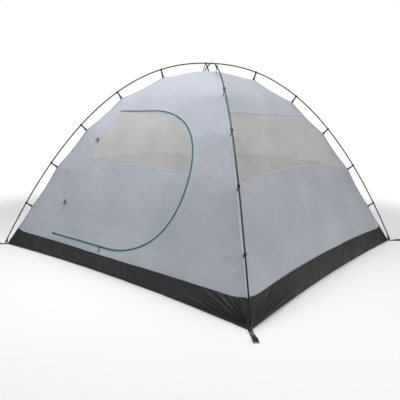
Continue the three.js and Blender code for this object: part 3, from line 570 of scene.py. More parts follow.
def smooth_profile():
    """The ridge if it had no sag: reach, height and outward normal from the foot to the peak."""
    share = np.linspace(1, 0, 1601)
    height = LOWER_PEAK * (1 - share ** POLE_BEND)
    slope = LOWER_PEAK * POLE_BEND * share ** (POLE_BEND - 1) / POLE_REACH
    along = np.hypot(slope, 1)
    first_clip = LOWER_PEAK * (1 - CLIP_SHARES[0] ** POLE_BEND)
    drop = FOOT_INSET + (CANOPY_DROP - FOOT_INSET) * np.minimum(1, np.maximum(height, 0) / first_clip)
    reach = POLE_REACH * share - drop * slope / along
    height = height - drop / along
    shift = height >= 0
    foot = np.interp(0, height, reach)
    return {
        "share": np.append(np.interp(0, height, share), share[shift]),
        "reach": np.append(foot, reach[shift]),
        "height": np.append(0, height[shift]),
        "normal": np.column_stack([np.append(slope[0], slope[shift]), np.ones(shift.sum() + 1)]),
    }


PROFILE = smooth_profile()
PROFILE["normal"] = unit(PROFILE["normal"])


def hanger_heights():
    """Heights where the ridge is held: the foot, the tub's corner, the clips and the peak."""
    clips = np.interp(-CLIP_SHARES, -PROFILE["share"], PROFILE["height"])
    return np.concatenate([[0, TUB_HEIGHT], clips, [CANOPY_TOP]])


HANGERS = hanger_heights()


def ridge_sag():
    """How far the ridge hangs inside the smooth profile: each span's bulge, and its sag."""
    sag = np.zeros(len(PROFILE["height"]))
    for low, high in zip(HANGERS, HANGERS[1:]):
        span = (PROFILE["height"] >= low) & (PROFILE["height"] <= high)
        points = np.column_stack([PROFILE["reach"][span], PROFILE["height"][span]])
        chord = points[-1] - points[0]
        length = np.linalg.norm(chord)
        bulge = ((points - points[0]) @ np.array([chord[1], -chord[0]])) / length
        t = ((points - points[0]) @ chord) / length ** 2
        looseness = SAG if low >= TUB_HEIGHT else 0.0
        sag[span] = bulge + looseness * length * 4 * t * (1 - t)
    return sag


PROFILE["sag"] = ridge_sag()


NEVER_ZERO = np.array([0, 0, 1e-12])  # keeps a normal at the peak, where the wall has no width


class Wall:
    """One side of the canopy."""

    def __init__(self, side):
        self.side = side
        self.half_share = HALVES[side] / POLE_REACH
        self.distance_share = DISTANCES[side] / POLE_REACH
        steps = np.hypot(np.diff(PROFILE["height"]), self.distance_share * np.diff(PROFILE["reach"]))
        self.s = np.concatenate([[0], np.cumsum(steps)])
        self.top = self.s[-1]
        self.turn = np.array(Matrix.Rotation(side * math.pi / 2, 3, "Z"))
        random = np.random.default_rng(40 + side)
        self.waves = random.uniform(-1, 1, (9, 4))
        self.clip_s = self.s_at(HANGERS[2:-1])
        self.seam_phase = random.uniform(0, 6, 3)

    def s_at(self, height):
        return np.interp(height, PROFILE["height"], self.s)

    def height_at(self, s):
        return np.interp(s, self.s, PROFILE["height"])

    def at(self, s, key):
        return np.interp(s, self.s, PROFILE[key])

    def half(self, s):
        return self.half_share * self.at(s, "reach")

    def turned(self, points):
        return np.asarray(points, float) @ self.turn.T

    def flat(self, x, height):
        """A line given by x and height, as the wall is drawn flat."""
        x, height = np.broadcast_arrays(np.asarray(x, float), np.asarray(height, float))
        return np.column_stack([x, self.s_at(height)])

    def bare(self, x, s):
        """The wall without its wrinkles, not yet turned to its side."""
        u = np.clip(x / np.maximum(self.half(s), 1e-6), -1, 1)
        height = self.height_at(s)
        rise = np.clip((height - BOW_FOOT) / (CANOPY_TOP - BOW_FOOT), 0, 1)
        bow = BOW * np.sin(math.pi * rise ** 0.8)
        inward = bow * (1 - u ** 2) + self.at(s, "sag") * np.abs(u) ** 5
        slope_out = np.interp(s, self.s, PROFILE["normal"][:, 0])
        slope_up = np.interp(s, self.s, PROFILE["normal"][:, 1])
        reach = self.at(s, "reach") - inward * slope_out
        return np.column_stack([
            u * self.half_share * reach,
            -self.distance_share * reach,
            height - inward * slope_up,
        ])

    def bare_normals(self, x, s):
        step = 1e-3
        across = self.bare(x + step, s) - self.bare(x - step, s)
        up = self.bare(x, np.minimum(s + step, self.top)) - self.bare(x, s - step)
        return unit(np.cross(across, up) + NEVER_ZERO)

    def wrinkles(self, x, s):
        """How far the cloth stands out: slow ripples, fans at the clips, and puckers at the tub."""
        half = np.maximum(self.half(s), 1e-6)
        u = np.clip(np.abs(x) / half, 0, 1)
        height = self.height_at(s)
        ripple = np.zeros(len(x))
        for a, b, c, d in self.waves:
            slope = (6 + 5 * b) * np.sign(c)
            ripple += np.sin((9 + 8 * a) * x + slope * s + 3 * d * math.pi) * (0.5 + 0.5 * c * c)
        depth = RIPPLE * ripple * smoothstep(0, 0.2, self.top - s)
        for clip_s in self.clip_s:
            away_x = self.half(np.full_like(s, clip_s)) - np.abs(x)
            away_s = s - clip_s
            away = np.hypot(away_x, away_s)
            angle = np.arctan2(away_s, away_x + 0.01)
            fan = np.sin(11 * angle + 1.3 * np.sign(x) + clip_s * 5)
            depth += CLIP_FAN * fan * bump(away, 0.0, 0.13) * smoothstep(0.0, 0.04, away)
        edge = self.tub_seam(x)
        above = np.maximum(height - edge, 0)
        pucker = np.sin(x / 0.0052 + self.seam_phase[0]) + np.sin(x / 0.0083 + self.seam_phase[1])
        corner = 0.35 + 1.1 * np.abs(x / self.tub_half) ** 3
        depth += PUCKER * corner * pucker * np.exp(-above / 0.022) * smoothstep(0, 0.006, above)
        fold = np.sin(x / 0.055 + self.seam_phase[2])
        depth += TUB_FOLD * fold * np.exp(-above / 0.12) * smoothstep(0, 0.03, above)
        return depth * (1 - u ** 12)

    @property
    def tub_half(self):
        return self.half(self.s_at(TUB_HEIGHT))

    def tub_seam(self, x):
        """Height of the seam between tub and wall, which curls up at the corners."""
        curl = TUB_CURL * bump(np.abs(x), self.tub_half, TUB_CURL_WIDTH)
        return TUB_HEIGHT + TUB_RISE[self.side] * (1 - (x / self.tub_half) ** 2) + curl

    def points(self, x, s, lift=0.0):
        x, s = np.asarray(x, float), np.asarray(s, float)
        normals = self.bare_normals(x, s)
        return self.turned(self.bare(x, s) + normals * (self.wrinkles(x, s) + lift)[:, None])

    def normals(self, x, s):
        return self.turned(self.bare_normals(np.asarray(x, float), np.asarray(s, float)))

    def ridge(self, from_s, to_s, hand, step=0.02):
        """The ridge on the wall's right or left, hand 1 or -1, drawn flat."""
        count = max(2, int(abs(to_s - from_s) / step) + 1)
        s = np.linspace(from_s, to_s, count)
        return np.column_stack([hand * self.half(s), s])


WALLS = [Wall(side) for side in range(4)]
DOOR_WALL = WALLS[0]


def level_line(wall, height, step=0.02):
    """A line from ridge to ridge at a height, drawn flat, from left to right."""
    s = float(wall.s_at(height))
    half = float(wall.half(s))
    return resampled([[-half, s], [half, s]], step)


def arc_line(wall, step=0.02):
    """The arc under the mesh, from ridge to ridge, drawn flat, from left to right."""
    x = np.linspace(-1, 1, 201) * 0.85 * HALVES[wall.side]
    height = MESH_ARC - MESH_ARC_DROP * (x / MESH_ARC_REACH) ** 2
    line = wall.flat(x, height)
    line = line[np.abs(line[:, 0]) <= wall.half(line[:, 1])]
    return resampled(line, step)


def seam_line(wall, step=0.02):
    """The seam between tub and wall, drawn flat, from left to right."""
    x = np.linspace(-wall.tub_half, wall.tub_half, 201)
    return resampled(wall.flat(x, wall.tub_seam(x)), step)


BORDER_SHARE = 0.55  # of an edge's step, which the points within keep off the border


def triangle_grid(low, high, step):
    """Points over a box in staggered rows."""
    rows = []
    for i, y in enumerate(np.arange(low[1], high[1], step * math.sqrt(3) / 2)):
        x = np.arange(low[0] + (i % 2) * step / 2, high[0], step)
        rows.append(np.column_stack([x, np.full(len(x), y)]))
    return np.vstack(rows)


def inside_cloth(points, loops):
    """Which points lie inside the first loop and outside the others."""
    keep = inside(points, loops[0])
    for hole in loops[1:]:
        keep &= ~inside(points, hole)
    return keep


def ring_edges(count, start=0):
    """A closed loop's edges, with its first point numbered start."""
    return [(start + i, start + (i + 1) % count) for i in range(count)]


def panel_mesh(outline, holes=(), step=0.018, inner_step=0.02):
    """Cloth inside an outline and outside its holes, all drawn flat, as points and triangles."""
    loops = [resampled(np.vstack([loop, loop[:1]]), step)[:-1] for loop in (outline, *holes)]
    border = np.vstack(loops)
    low, high = loops[0].min(axis=0), loops[0].max(axis=0)
    grid = triangle_grid(low, high, inner_step)
    grid = grid[inside_cloth(grid, loops)]
    gaps = grid[:, None].astype(np.float32) - border[None].astype(np.float32)
    grid = grid[np.linalg.norm(gaps, axis=2).min(axis=1) > BORDER_SHARE * step]
    edges = []
    for loop in loops:
        edges += ring_edges(len(loop), len(edges))
    flat = [Vector(p) for p in np.vstack([border, grid])]
    points, _, faces, *_ = delaunay_2d_cdt(flat, edges, [], 0, 1e-7)
    points = np.array([tuple(p) for p in points])
    faces = np.array([f[:] for f in faces])
    centres = points[faces].mean(axis=1)
    faces = faces[inside_cloth(centres, loops)]
    a, b, c = points[faces[:, 0]], points[faces[:, 1]], points[faces[:, 2]]
    turn = (b[:, 0] - a[:, 0]) * (c[:, 1] - a[:, 1]) - (b[:, 1] - a[:, 1]) * (c[:, 0] - a[:, 0])
    faces[turn < 0] = faces[turn < 0][:, ::-1]
    used, faces = np.unique(faces, return_inverse=True)
    return points[used], faces.reshape(-1, 3), float(np.abs(turn[turn != 0]).sum() / 2)


def cloth_panel(name, wall, outline, material, node, holes=(), body="tent"):
    """One cut panel of a wall as a sheet of cloth."""
    flat, faces, area = panel_mesh(outline, holes)
    panel = mesh_object(name, wall.points(flat[:, 0], flat[:, 1]), faces, material, uvs=flat)
    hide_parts(node)
    if body == "door":
        blend_to_door(panel)
    else:
        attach(panel, body)


def wall_strip(wall, line, width, thickness, rise=-0.0004, offset=0.0, step=0.012):
    """Points, faces and UVs of a band sewn on a wall along a flat-drawn line."""
    line = resampled(line, step)
    points = wall.points(line[:, 0], line[:, 1])
    normals = wall.normals(line[:, 0], line[:, 1])
    if offset:
        across = unit(np.cross(unit(np.gradient(points, axis=0)), normals))
        points = points + across * offset
    return strip_mesh(points, normals, width, thickness, rise)


def strip_object(name, material, slot, body, *strips):
    """One piece from several bands."""
    points, faces = joined_mesh([strip[:2] for strip in strips])
    uvs = np.concatenate([strip[2] for strip in strips])
    return own(mesh_object(name, points, faces, material, uvs=uvs), body, slot)


# ---- Door ----
def zipper_line():
    """The zipper's middle, in x and height: along the top, round the side and back along the bottom."""
    top_reach = DOOR_SIDE_X - DOOR_CREST_X
    bottom_reach = DOOR_SIDE_X - DOOR_TOE_X
    upper_rise = DOOR_TOP - DOOR_SIDE_Z
    lower_rise = DOOR_SIDE_Z - DOOR_BOTTOM
    upper = bezier(
        (DOOR_CREST_X, DOOR_TOP), (DOOR_CREST_X + UPPER_ROUND[0] * top_reach, DOOR_TOP),
        (DOOR_SIDE_X, DOOR_SIDE_Z + UPPER_ROUND[1] * upper_rise), (DOOR_SIDE_X, DOOR_SIDE_Z),
    )
    lower = bezier(
        (DOOR_SIDE_X, DOOR_SIDE_Z), (DOOR_SIDE_X, DOOR_SIDE_Z - LOWER_ROUND[1] * lower_rise),
        (DOOR_TOE_X + LOWER_ROUND[0] * bottom_reach, DOOR_BOTTOM), (DOOR_TOE_X, DOOR_BOTTOM),
    )
    line = np.vstack([[(HINGE_TOP_X, DOOR_TOP)], upper, lower[1:], [(HINGE_BOTTOM_X, DOOR_BOTTOM)]])
    return DOOR_WALL.flat(line[:, 0], line[:, 1])


ZIPPER = resampled(zipper_line(), 0.005)


def hinge_x(height):
    """Where the line that the door hangs on lies, at a height."""
    share = (DOOR_TOP - height) / (DOOR_TOP - DOOR_BOTTOM)
    return HINGE_TOP_X + (HINGE_BOTTOM_X - HINGE_TOP_X) * share


def hinge_line(low=DOOR_BOTTOM, high=DOOR_TOP):
    """The line that the door is sewn on, drawn flat, from the bottom up."""
    height = np.linspace(low, high, 60)
    return DOOR_WALL.flat(hinge_x(height), height)


def door_outline(offset):
    """The door's outline drawn flat, grown by offset along the zipper."""
    tangents = unit(np.gradient(ZIPPER, axis=0))
    edge = ZIPPER + offset * np.column_stack([-tangents[:, 1], tangents[:, 0]])
    heights = DOOR_WALL.height_at(edge[[0, -1], 1])
    edge[0, 0], edge[-1, 0] = hinge_x(heights[0]), hinge_x(heights[1])
    return edge


def blend_to_door(piece):
    """Bakes a piece of the door's cloth into world space. It works out the hinge seam's axis and start but
    does not bend the piece.
    """
    axis = Vector(DOOR_HINGE["axis"]).normalized()
    height = DOOR_HINGE["pos_m"][2]
    start = Vector(DOOR_WALL.points([hinge_x(height)], DOOR_WALL.s_at([height]))[0])
    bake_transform(piece)


def door_parts():
    """The cloth under the arc and the mesh over it."""
    outline = door_outline(-ZIP_HALF_GAP)
    arc = arc_line(DOOR_WALL, 0.01)
    arc_s = np.interp(outline[:, 0], arc[:, 0], arc[:, 1])
    above = outline[:, 1] > arc_s
    cross = np.flatnonzero(above[1:] != above[:-1])[0]
    right_x = float((outline[cross, 0] + outline[cross + 1, 0]) / 2)
    height = MESH_ARC - MESH_ARC_DROP * (hinge_x(MESH_ARC) / MESH_ARC_REACH) ** 2
    left_x = float(hinge_x(height))
    x = np.arange(left_x, right_x, 0.01)
    middle = np.column_stack([x, np.interp(x, arc[:, 0], arc[:, 1])])
    middle = np.vstack([middle, [(right_x, float(np.interp(right_x, arc[:, 0], arc[:, 1])))]])
    upper = np.vstack([outline[:cross + 1], middle[::-1]])
    lower = np.vstack([outline[cross + 1:], middle])
    return upper, lower, middle


def build_door():
    upper, lower, middle = door_parts()
    cloth_panel("door_mesh_cloth", DOOR_WALL, upper, MESH, "door_mesh_window", body="door")
    cloth_panel("door_lower_cloth", DOOR_WALL, lower, CANOPY, "door_lower_panel", body="door")
    points, faces, uvs = wall_strip(DOOR_WALL, middle, 0.008, 0.0010)
    seam = mesh_object("door_mesh_seam", points, faces, SEAM, uvs=uvs)
    blend_to_door(seam)


def zip_stretch():
    """The part of the zipper's line that has coils, drawn flat."""
    lengths = lengths_along(ZIPPER)
    stretch = (lengths >= ZIP_END) & (lengths <= lengths[-1] - ZIP_END)
    return ZIPPER[stretch]


COIL_PITCH = 0.0025
COIL_RADIUS = 0.0013
TAPE_WIDTH, TAPE_OFFSET = 0.0044, 0.0036
FLAP_WIDTH, FLAP_OFFSET = 0.007, 0.0090


def build_zipper():
    line = resampled(zip_stretch(), 0.005)
    for name, hand, body in (("wall", 1, "tent"), ("door", -1, "door")):
        tape = wall_strip(DOOR_WALL, line, TAPE_WIDTH, 0.0009, 0.0002, -hand * TAPE_OFFSET, step=0.006)
        strip_object("zipper_tape_on_" + name, ZIP_TAPE, "zipper", body, tape)
        flap = wall_strip(DOOR_WALL, line, FLAP_WIDTH, 0.0010, -0.0003, -hand * FLAP_OFFSET, step=0.01)
        strip_object("zipper_flap_on_" + name, SEAM, "canopy", body, flap)
        fine = resampled(line, COIL_PITCH / 4)
        points = DOOR_WALL.points(fine[:, 0], fine[:, 1])
        normals = DOOR_WALL.normals(fine[:, 0], fine[:, 1])
        across = unit(np.cross(unit(np.gradient(points, axis=0)), normals))
        path = points - across * hand * COIL_RADIUS * 0.95 + normals * 0.0012
        radii = COIL_RADIUS * (1 + 0.16 * np.sin(np.arange(len(path)) * math.pi / 2))
        coil = mesh_object("zipper_coil_on_" + name, *tube_mesh(path, radii, 7), COIL)
        own(coil, body, "zipper", "zipper_track_on_" + name)


# ---- Walls ----
def side_outline(wall, bottom, top_height=None, top_line=None):
    """A panel's outline: a bottom line, the right ridge, a top line or the peak, and the left ridge."""
    low_left, low_right = float(bottom[0, 1]), float(bottom[-1, 1])
    if top_line is None:
        high = wall.top if top_height is None else float(wall.s_at(top_height))
        top = np.zeros((0, 2)) if top_height is None else level_line(wall, top_height)[::-1][1:-1]
        high_left = high_right = high
    else:
        top = top_line[::-1][1:-1]
        high_right, high_left = float(top_line[-1, 1]), float(top_line[0, 1])
    right = wall.ridge(low_right, high_right, 1)[1:]
    left = wall.ridge(high_left, low_left, -1)[:-1]
    if top_height is None and top_line is None:
        left = left[1:]
    return np.vstack([bottom, right, top, left])


def build_door_wall():
    outline = side_outline(DOOR_WALL, seam_line(DOOR_WALL))
    hole = door_outline(ZIP_HALF_GAP)
    cloth_panel("door_side_cloth", DOOR_WALL, outline, CANOPY, "door_side_wall", holes=[hole])


def build_side_walls():
    for side in (1, 2, 3):
        wall, name = WALLS[side], SIDES[side]
        arc = arc_line(wall)
        lower = side_outline(wall, seam_line(wall), top_line=arc)
        middle = side_outline(wall, arc, top_height=MESH_SEAM)
        upper = side_outline(wall, level_line(wall, MESH_SEAM))
        cloth_panel(name + "_lower_cloth", wall, lower, CANOPY, name + "_lower_wall")
        cloth_panel(name + "_mesh_cloth", wall, middle, MESH, name + "_mesh")
        cloth_panel(name + "_top_cloth", wall, upper, CANOPY, name + "_top")
        strip_object(
            name + "_mesh_seams", SEAM, "canopy", "tent",
            wall_strip(wall, arc, 0.009, 0.0011),
            wall_strip(wall, level_line(wall, MESH_SEAM), 0.009, 0.0011),
        )


def build_ridges():
    """The bound seam down each ridge."""
    for leg, name in enumerate(LEGS):
        wall = WALLS[leg]  # the ridge on this wall's left
        flat = wall.ridge(wall.top - 0.03, wall.s_at(TUB_HEIGHT + TUB_CURL), -1, 0.012)
        points = wall.turned(wall.bare(flat[:, 0], flat[:, 1]))
        outward = unit(points * np.array([1, 1, 0]))
        tangents = unit(np.gradient(points, axis=0))
        normals = unit(outward - np.sum(outward * tangents, axis=1)[:, None] * tangents)
        strip = strip_mesh(points, normals, 0.011, 0.0032, -0.0012)
        strip_object(name + "_ridge_seam", SEAM, "canopy", "tent", strip)


def build_door_seam():
    """The seam that the door hangs on, from the ridge over it down to the tub's left corner."""
    top_clip = HANGERS[2 + 3]
    top = (-float(DOOR_WALL.half(DOOR_WALL.s_at(top_clip))) * 0.985, top_clip)
    corner = (-0.86, float(DOOR_WALL.tub_seam(-0.86)))
    heights = np.linspace(0.330, DOOR_TOP, 40)
    upper = bezier((hinge_x(DOOR_TOP), DOOR_TOP), (-0.384, 1.06), (top[0] + 0.004, top[1] - 0.05), top)
    lower = bezier(corner, (-0.755, 0.180), (-0.640, 0.258), (hinge_x(0.330), 0.330))
    line = np.vstack([lower[:-1], np.column_stack([hinge_x(heights), heights]), upper[1:]])
    strip = wall_strip(DOOR_WALL, DOOR_WALL.flat(line[:, 0], line[:, 1]), 0.010, 0.0018)
    low = wall_strip(DOOR_WALL, hinge_line(DOOR_BOTTOM, 0.345), 0.008, 0.0014)
    strip_object("door_hinge_seam", SEAM, "canopy", "tent", strip, low)


# ---- Tub ----
CORNER_REACH = POLE_REACH - FOOT_INSET
PLEATS = (  # the angle at which each leaves the corner, and its share of the depth
    (0.10, 0.8), (0.17, 0.9), (0.25, 1.0), (0.34, 0.8), (0.45, 1.0),
    (0.58, 0.8), (0.74, 0.9), (0.95, 0.8), (1.20, 0.6),
)
PLEAT_DEPTH = 0.0085
TUB_BELLY = 0.005  # how far a tub wall stands out at half its height
CORNER_SINK = CREASE_DEPTH = 0.0035
CREASE_LIP = 0.0018
TUB_RIPPLE = 0.0009
NEAR_CORNER = {(0, 1): 1.3, (1, -1): 1.7}  # deeper pleats, by side and hand
OTHER_CORNERS = 0.8
CREASES = ((-0.62, 0.10), (-0.31, -0.06), (0.14, 0.05), (0.52, -0.08))  # place along, and lean


def ground_line(side, share, height):
    """The tub's edge on the ground along one side, drawn as side 0."""
    scale = CORNER_REACH / POLE_REACH
    pull = FLOOR_EDGE_PULL[side] * (1 - share ** 2)
    return np.column_stack([
        share * scale * HALVES[side], pull - scale * DISTANCES[side], np.full(len(share), height),
    ])


def tub_columns():
    """Shares along a tub wall, closer together near its corners."""
    even = np.linspace(-1, 1, 300)
    return np.sign(even) * (1 - (1 - np.abs(even)) ** 1.35)


def tub_wall(side):
    """A tub wall between the ground and the seam: pulled into pleats at its corners."""
    wall = WALLS[side]
    share = tub_columns()
    top_x = share * wall.tub_half
    top = wall.bare(top_x, wall.s_at(wall.tub_seam(top_x)))
    half = CORNER_REACH / POLE_REACH * HALVES[side]
    bottom = ground_line(side, share, 0.001)
    rise = np.linspace(0, 1, 34)[:, None, None]
    points = bottom[None] + (top - bottom)[None] * rise
    along = unit(np.gradient(bottom, axis=0))
    outward = unit(np.cross(along, top - bottom))
    random = np.random.default_rng(7 + side)
    x, z, v = points[..., 0], points[..., 2], np.broadcast_to(rise[..., 0], points.shape[:2])
    depth = TUB_BELLY * np.sin(math.pi * v)
    for hand in (-1, 1):
        sharp = NEAR_CORNER.get((side, hand), OTHER_CORNERS)
        away = half - hand * x
        angle = np.arctan2(z, np.maximum(away, 1e-4))
        far = np.hypot(away, z)
        for turn, strength in PLEATS:
            turn = turn * random.uniform(0.92, 1.08)
            reach = random.uniform(0.30, 0.55)
            pleat = bump(angle, turn, 0.012 + 0.030 * turn)
            pleat *= smoothstep(0.012, 0.06, far) * (1 - smoothstep(reach * 0.55, reach, far))
            depth = depth + PLEAT_DEPTH * sharp * strength * pleat
        sink = bump(far, 0.0, 0.16) * smoothstep(0.01, 0.05, far)
        depth = depth - CORNER_SINK * sink
    for middle, lean in CREASES:
        line = middle * half + lean * z + random.uniform(-0.02, 0.02)
        depth = depth - CREASE_DEPTH * bump(x, line, 0.008) * np.sin(math.pi * v) ** 0.6
        depth = depth + CREASE_LIP * bump(x, line + 0.02, 0.012) * np.sin(math.pi * v)
    for _ in range(7):
        a, b, c = random.uniform(-1, 1, 3)
        depth = depth + TUB_RIPPLE * np.sin((14 + 9 * a) * x + (20 * b) * z + 6 * c)
    fade = np.minimum(1, 4 * v) ** 0.7 * np.minimum(1, 16 * (1 - v)) ** 0.7
    fade = fade * np.minimum(1, 40 * (1 - np.abs(share)))[None, :]
    points = points + outward[None] * (depth * fade)[..., None]
    return points, outward


def build_tub():
    for side, name in enumerate(SIDES):
        wall = WALLS[side]
        points, outward = tub_wall(side)
        rows, columns = points.shape[:2]
        flat = points.reshape(-1, 3)
        skin = mesh_object(name + "_tub_cloth", wall.turned(flat), grid_faces(rows, columns), TUB)
        own(skin, "tent", "tub", name + "_tub_wall")
        length = float(np.linalg.norm(np.diff(points[0], axis=0), axis=1).sum())
        deep = float(np.linalg.norm(np.diff(points, axis=0), axis=2).sum(axis=0).mean())
        for label, row, width, thick in (("hem", 1, 0.006, 0.0012), ("seam", rows - 1, 0.005, 0.0018)):
            line, normals = wall.turned(points[row]), wall.turned(outward)
            strip = strip_mesh(line[::3], normals[::3], width, thick, -0.0006)
            strip_object(name + "_tub_" + label, TUB_SEAM, "tub", "tent", strip)


def ground_edge():
    """The tub's edge on the ground, anticlockwise."""
    share = np.linspace(-1, 1, 60)[:-1]
    return np.vstack([WALLS[side].turned(ground_line(side, share, 0.0))[:, :2] for side in range(4)])


def build_floor():
    edge = ground_edge()
    step = 0.035
    low, high = edge.min(axis=0), edge.max(axis=0)
    grid = np.stack(np.meshgrid(np.arange(low[0], high[0], step), np.arange(low[1], high[1], step)), -1)
    grid = grid.reshape(-1, 2)
    grid = grid[inside(grid, edge * 0.985)]
    flat = [Vector(p) for p in np.vstack([edge, grid])]
    points, _, faces, *_ = delaunay_2d_cdt(flat, ring_edges(len(edge)), [], 1, 1e-7)
    points = np.array([tuple(p) for p in points])
    x, y = points[:, 0], points[:, 1]
    height = 0.0016 + 0.0012 * np.sin(9 * x + 2 * y) * np.sin(7 * y - 3 * x)
    floor = mesh_object("floor_cloth", np.column_stack([x, y, height]), faces, TUB)
    own(floor, "tent", "tub", "floor_panel")


# ---- Poles ----
SECTIONS = ("left_leg", "middle", "right_leg")
TIP_RADIUS = 0.003
TIP_SHOW = 0.026  # length of the metal tip below the tube


def build_pole(name, pole):
    length = pole["length"]
    for number, part in enumerate(SECTIONS):
        start, end = length * number / 3, length * (number + 1) / 3
        is_first, is_last = number == 0, number == 2
        start += TIP_SHOW * 0.8 if is_first else 0.0004
        end -= TIP_SHOW * 0.8 if is_last else 0.0004
        stops = np.arange(start, end, 0.02)
        lips = [start, start + 0.0012, start + 0.014, start + 0.0148]
        lips += [end - 0.0148, end - 0.014, end - 0.0012, end]
        stops = np.sort(np.concatenate([stops[(stops > start + 0.016) & (stops < end - 0.016)], lips]))
        radii = np.full(len(stops), POLE_RADIUS)
        sleeve = (stops <= start + 0.0141) | (stops >= end - 0.0141)
        radii[sleeve] = POLE_RADIUS * 1.05
        radii[0] = radii[-1] = POLE_RADIUS * 0.98
        tube = mesh_object(f"{name}_{part}_tube", *tube_mesh(on_pole(pole, stops), radii, 16), TUBE)
        own(tube, "tent", "pole", f"{name}_{part}")
        if is_first or is_last:
            at = (lambda d: on_pole(pole, d)) if is_first else (lambda d: on_pole(pole, length - d))
            foot = at(TIP_RADIUS)
            foot[2] = TIP_RADIUS
            line = [foot + (foot - at(0.02)) * 0.14, foot, at(0.006), at(0.012), at(0.0135), at(0.0145)]
            line += [at(0.0255), at(0.0265)]
            radii = [0.0012, 0.0026, 0.003, 0.0031, 0.0042, 0.0054, 0.0054, 0.0047]
            tip = mesh_object(f"{name}_{part}_tip", *tube_mesh(np.array(line), radii, 16), METAL_DARK)
            own(tip, "tent", "pole")


# ---- Clips ----
def local_mesh(parts, origin, across_x, across_y, across_z):
    """Parts drawn in their own frame, put in place."""
    points, faces = joined_mesh(parts)
    basis = np.array([across_x, across_y, across_z])
    return np.asarray(origin) + points @ basis, faces


def hook_part(inner, wall, width, mouth=math.radians(70)):
    """A C that opens upwards, round the X axis: a rounded section swept round the pole."""
    angles = np.linspace(mouth / 2, 2 * math.pi - mouth / 2, 30)
    section = rounded_ring(width, wall, 12, 5)
    rings = []
    for angle in angles:
        ends = 1 - 0.25 * max(0, 1 - min(angle - mouth / 2, 2 * math.pi - mouth / 2 - angle) / 0.2)
        radius = inner + wall / 2 + section[:, 1] * ends
        rings.append(np.column_stack([
            section[:, 0] * ends, radius * math.sin(angle), radius * math.cos(angle),
        ]))
    return loft_mesh(rings)


def lofted_stem(stops):
    """A stem down the Z axis through (z, width along X, thickness along Y) sections."""
    return loft_mesh([
        np.column_stack([ring, np.full(len(ring), z)])
        for z, width, thickness in stops
        for ring in [rounded_ring(width, thickness, 16, 3.5)]
    ])


def clip_tab(drop, top_width, foot_width, thickness=0.0024, top=-0.021):
    """Folded webbing from the clip's bar down to the ridge, flaring to its foot."""
    rings = []
    for t in np.linspace(0, 1, 9):
        z = top + (-drop - 0.0005 - top) * t
        width = top_width + (foot_width - top_width) * t ** 1.5
        thick = thickness * (1 + 0.9 * (1 - t) ** 4)
        rings.append(np.column_stack([rounded_ring(width, thick, 16, 5), np.full(16, z)]))
    return loft_mesh(rings)


HOOK_CLEARANCE, HOOK_WALL, HOOK_WIDTH = 0.0004, 0.0036, 0.014
TAB_TOP, TAB_FOOT = 0.0100, 0.0185  # widths of a clip's webbing at its bar and at the ridge


def build_clips():
    spacing = 1 / (2 * (CLIPS_PER_LEG + 1))
    for leg, (sign_x, sign_y) in enumerate(LEG_SIGNS):
        pole = UPPER_POLE if sign_x == sign_y else LOWER_POLE
        wall = WALLS[leg]
        for i in range(1, CLIPS_PER_LEG + 1):
            share = i * spacing if sign_x < 0 else 1 - i * spacing
            point, tangent, _, _ = pole_frame(pole, share * pole["length"])
            s = wall.clip_s[i - 1]
            ridge = wall.turned(wall.bare(-wall.half(np.array([s])), np.array([s])))[0]
            outward = unit(point - ridge)
            drop = float(np.linalg.norm(point - ridge))
            along = unit(tangent - np.dot(tangent, outward) * outward)
            across = np.cross(outward, along)
            name = f"{LEGS[leg]}_clip_{i}"
            hook = hook_part(POLE_RADIUS + HOOK_CLEARANCE, HOOK_WALL, HOOK_WIDTH)
            neck = lofted_stem([
                (-0.0066, 0.0104, 0.0070), (-0.010, 0.0090, 0.0062), (-0.016, 0.0084, 0.0050),
                (-0.0185, 0.0108, 0.0046), (-0.0215, 0.0128, 0.0046), (-0.0245, 0.0128, 0.0042),
                (-0.0255, 0.0116, 0.0030),
            ])
            solid = local_mesh([hook, neck], point, along, across, outward)
            own(mesh_object(name + "_hook", *solid, BLACK), "tent", "plastic", name)
            tab = local_mesh([clip_tab(drop, TAB_TOP, TAB_FOOT)], point, along, across, outward)
            own(mesh_object(name + "_tab", *tab, TAB_CLOTH), "tent", "webbing")


def build_peak_hook():
    distance = UPPER_POLE["length"] / 2 - 0.024
    point, tangent, across, outward = pole_frame(UPPER_POLE, distance)
    hook = hook_part(POLE_RADIUS + 0.0012, 0.0028, 0.010)
    stem = lofted_stem([(-0.0066, 0.010, 0.0045), (-0.010, 0.012, 0.0036), (-0.0125, 0.013, 0.0034)])
    solid = local_mesh([hook, stem], point, tangent, across, outward)
    own(mesh_object("peak_hook_body", *solid, BLACK), "tent", "plastic", "peak_hook")
    drop = float(point[2] - CANOPY_TOP) + 0.001
    rings = []
    for x0, x1, wide in ((-0.0045, -0.021, 0.006), (0.0045, 0.021, 0.010)):
        leg = []
        for t in np.linspace(0, 1, 8):
            z = -0.011 + (-drop + 0.011) * t
            bow = 0.0012 * math.sin(math.pi * t)
            ring = rounded_ring(wide, 0.0022, 12, 5)
            leg.append(np.column_stack([
                ring[:, 0] + x0 + (x1 - x0) * t + math.copysign(bow, x1), ring[:, 1], np.full(12, z),
            ]))
        rings.append(loft_mesh(leg))
    fork = local_mesh(rings, point, tangent, across, outward)
    own(mesh_object("peak_fork", *fork, TAB_CLOTH), "tent", "webbing", "peak_webbing_fork")


# ---- Corners ----
def ring_mesh(radius, wire, count=28, sides=8):
    """A flat ring round the Z axis."""
    angles = np.linspace(0, 2 * math.pi, count, endpoint=False)
    turn = np.linspace(0, 2 * math.pi, sides, endpoint=False)
    points = []
    for angle in angles:
        reach = radius + wire * np.cos(turn)
        points.append(np.column_stack([
            reach * math.cos(angle), reach * math.sin(angle), 0.6 * wire * np.sin(turn),
        ]))
    last = (count - 1) * sides
    closing = [(last + j, last + (j + 1) % sides, (j + 1) % sides, j) for j in range(sides)]
    return np.concatenate(points), grid_faces(count, sides, closed=True) + closing


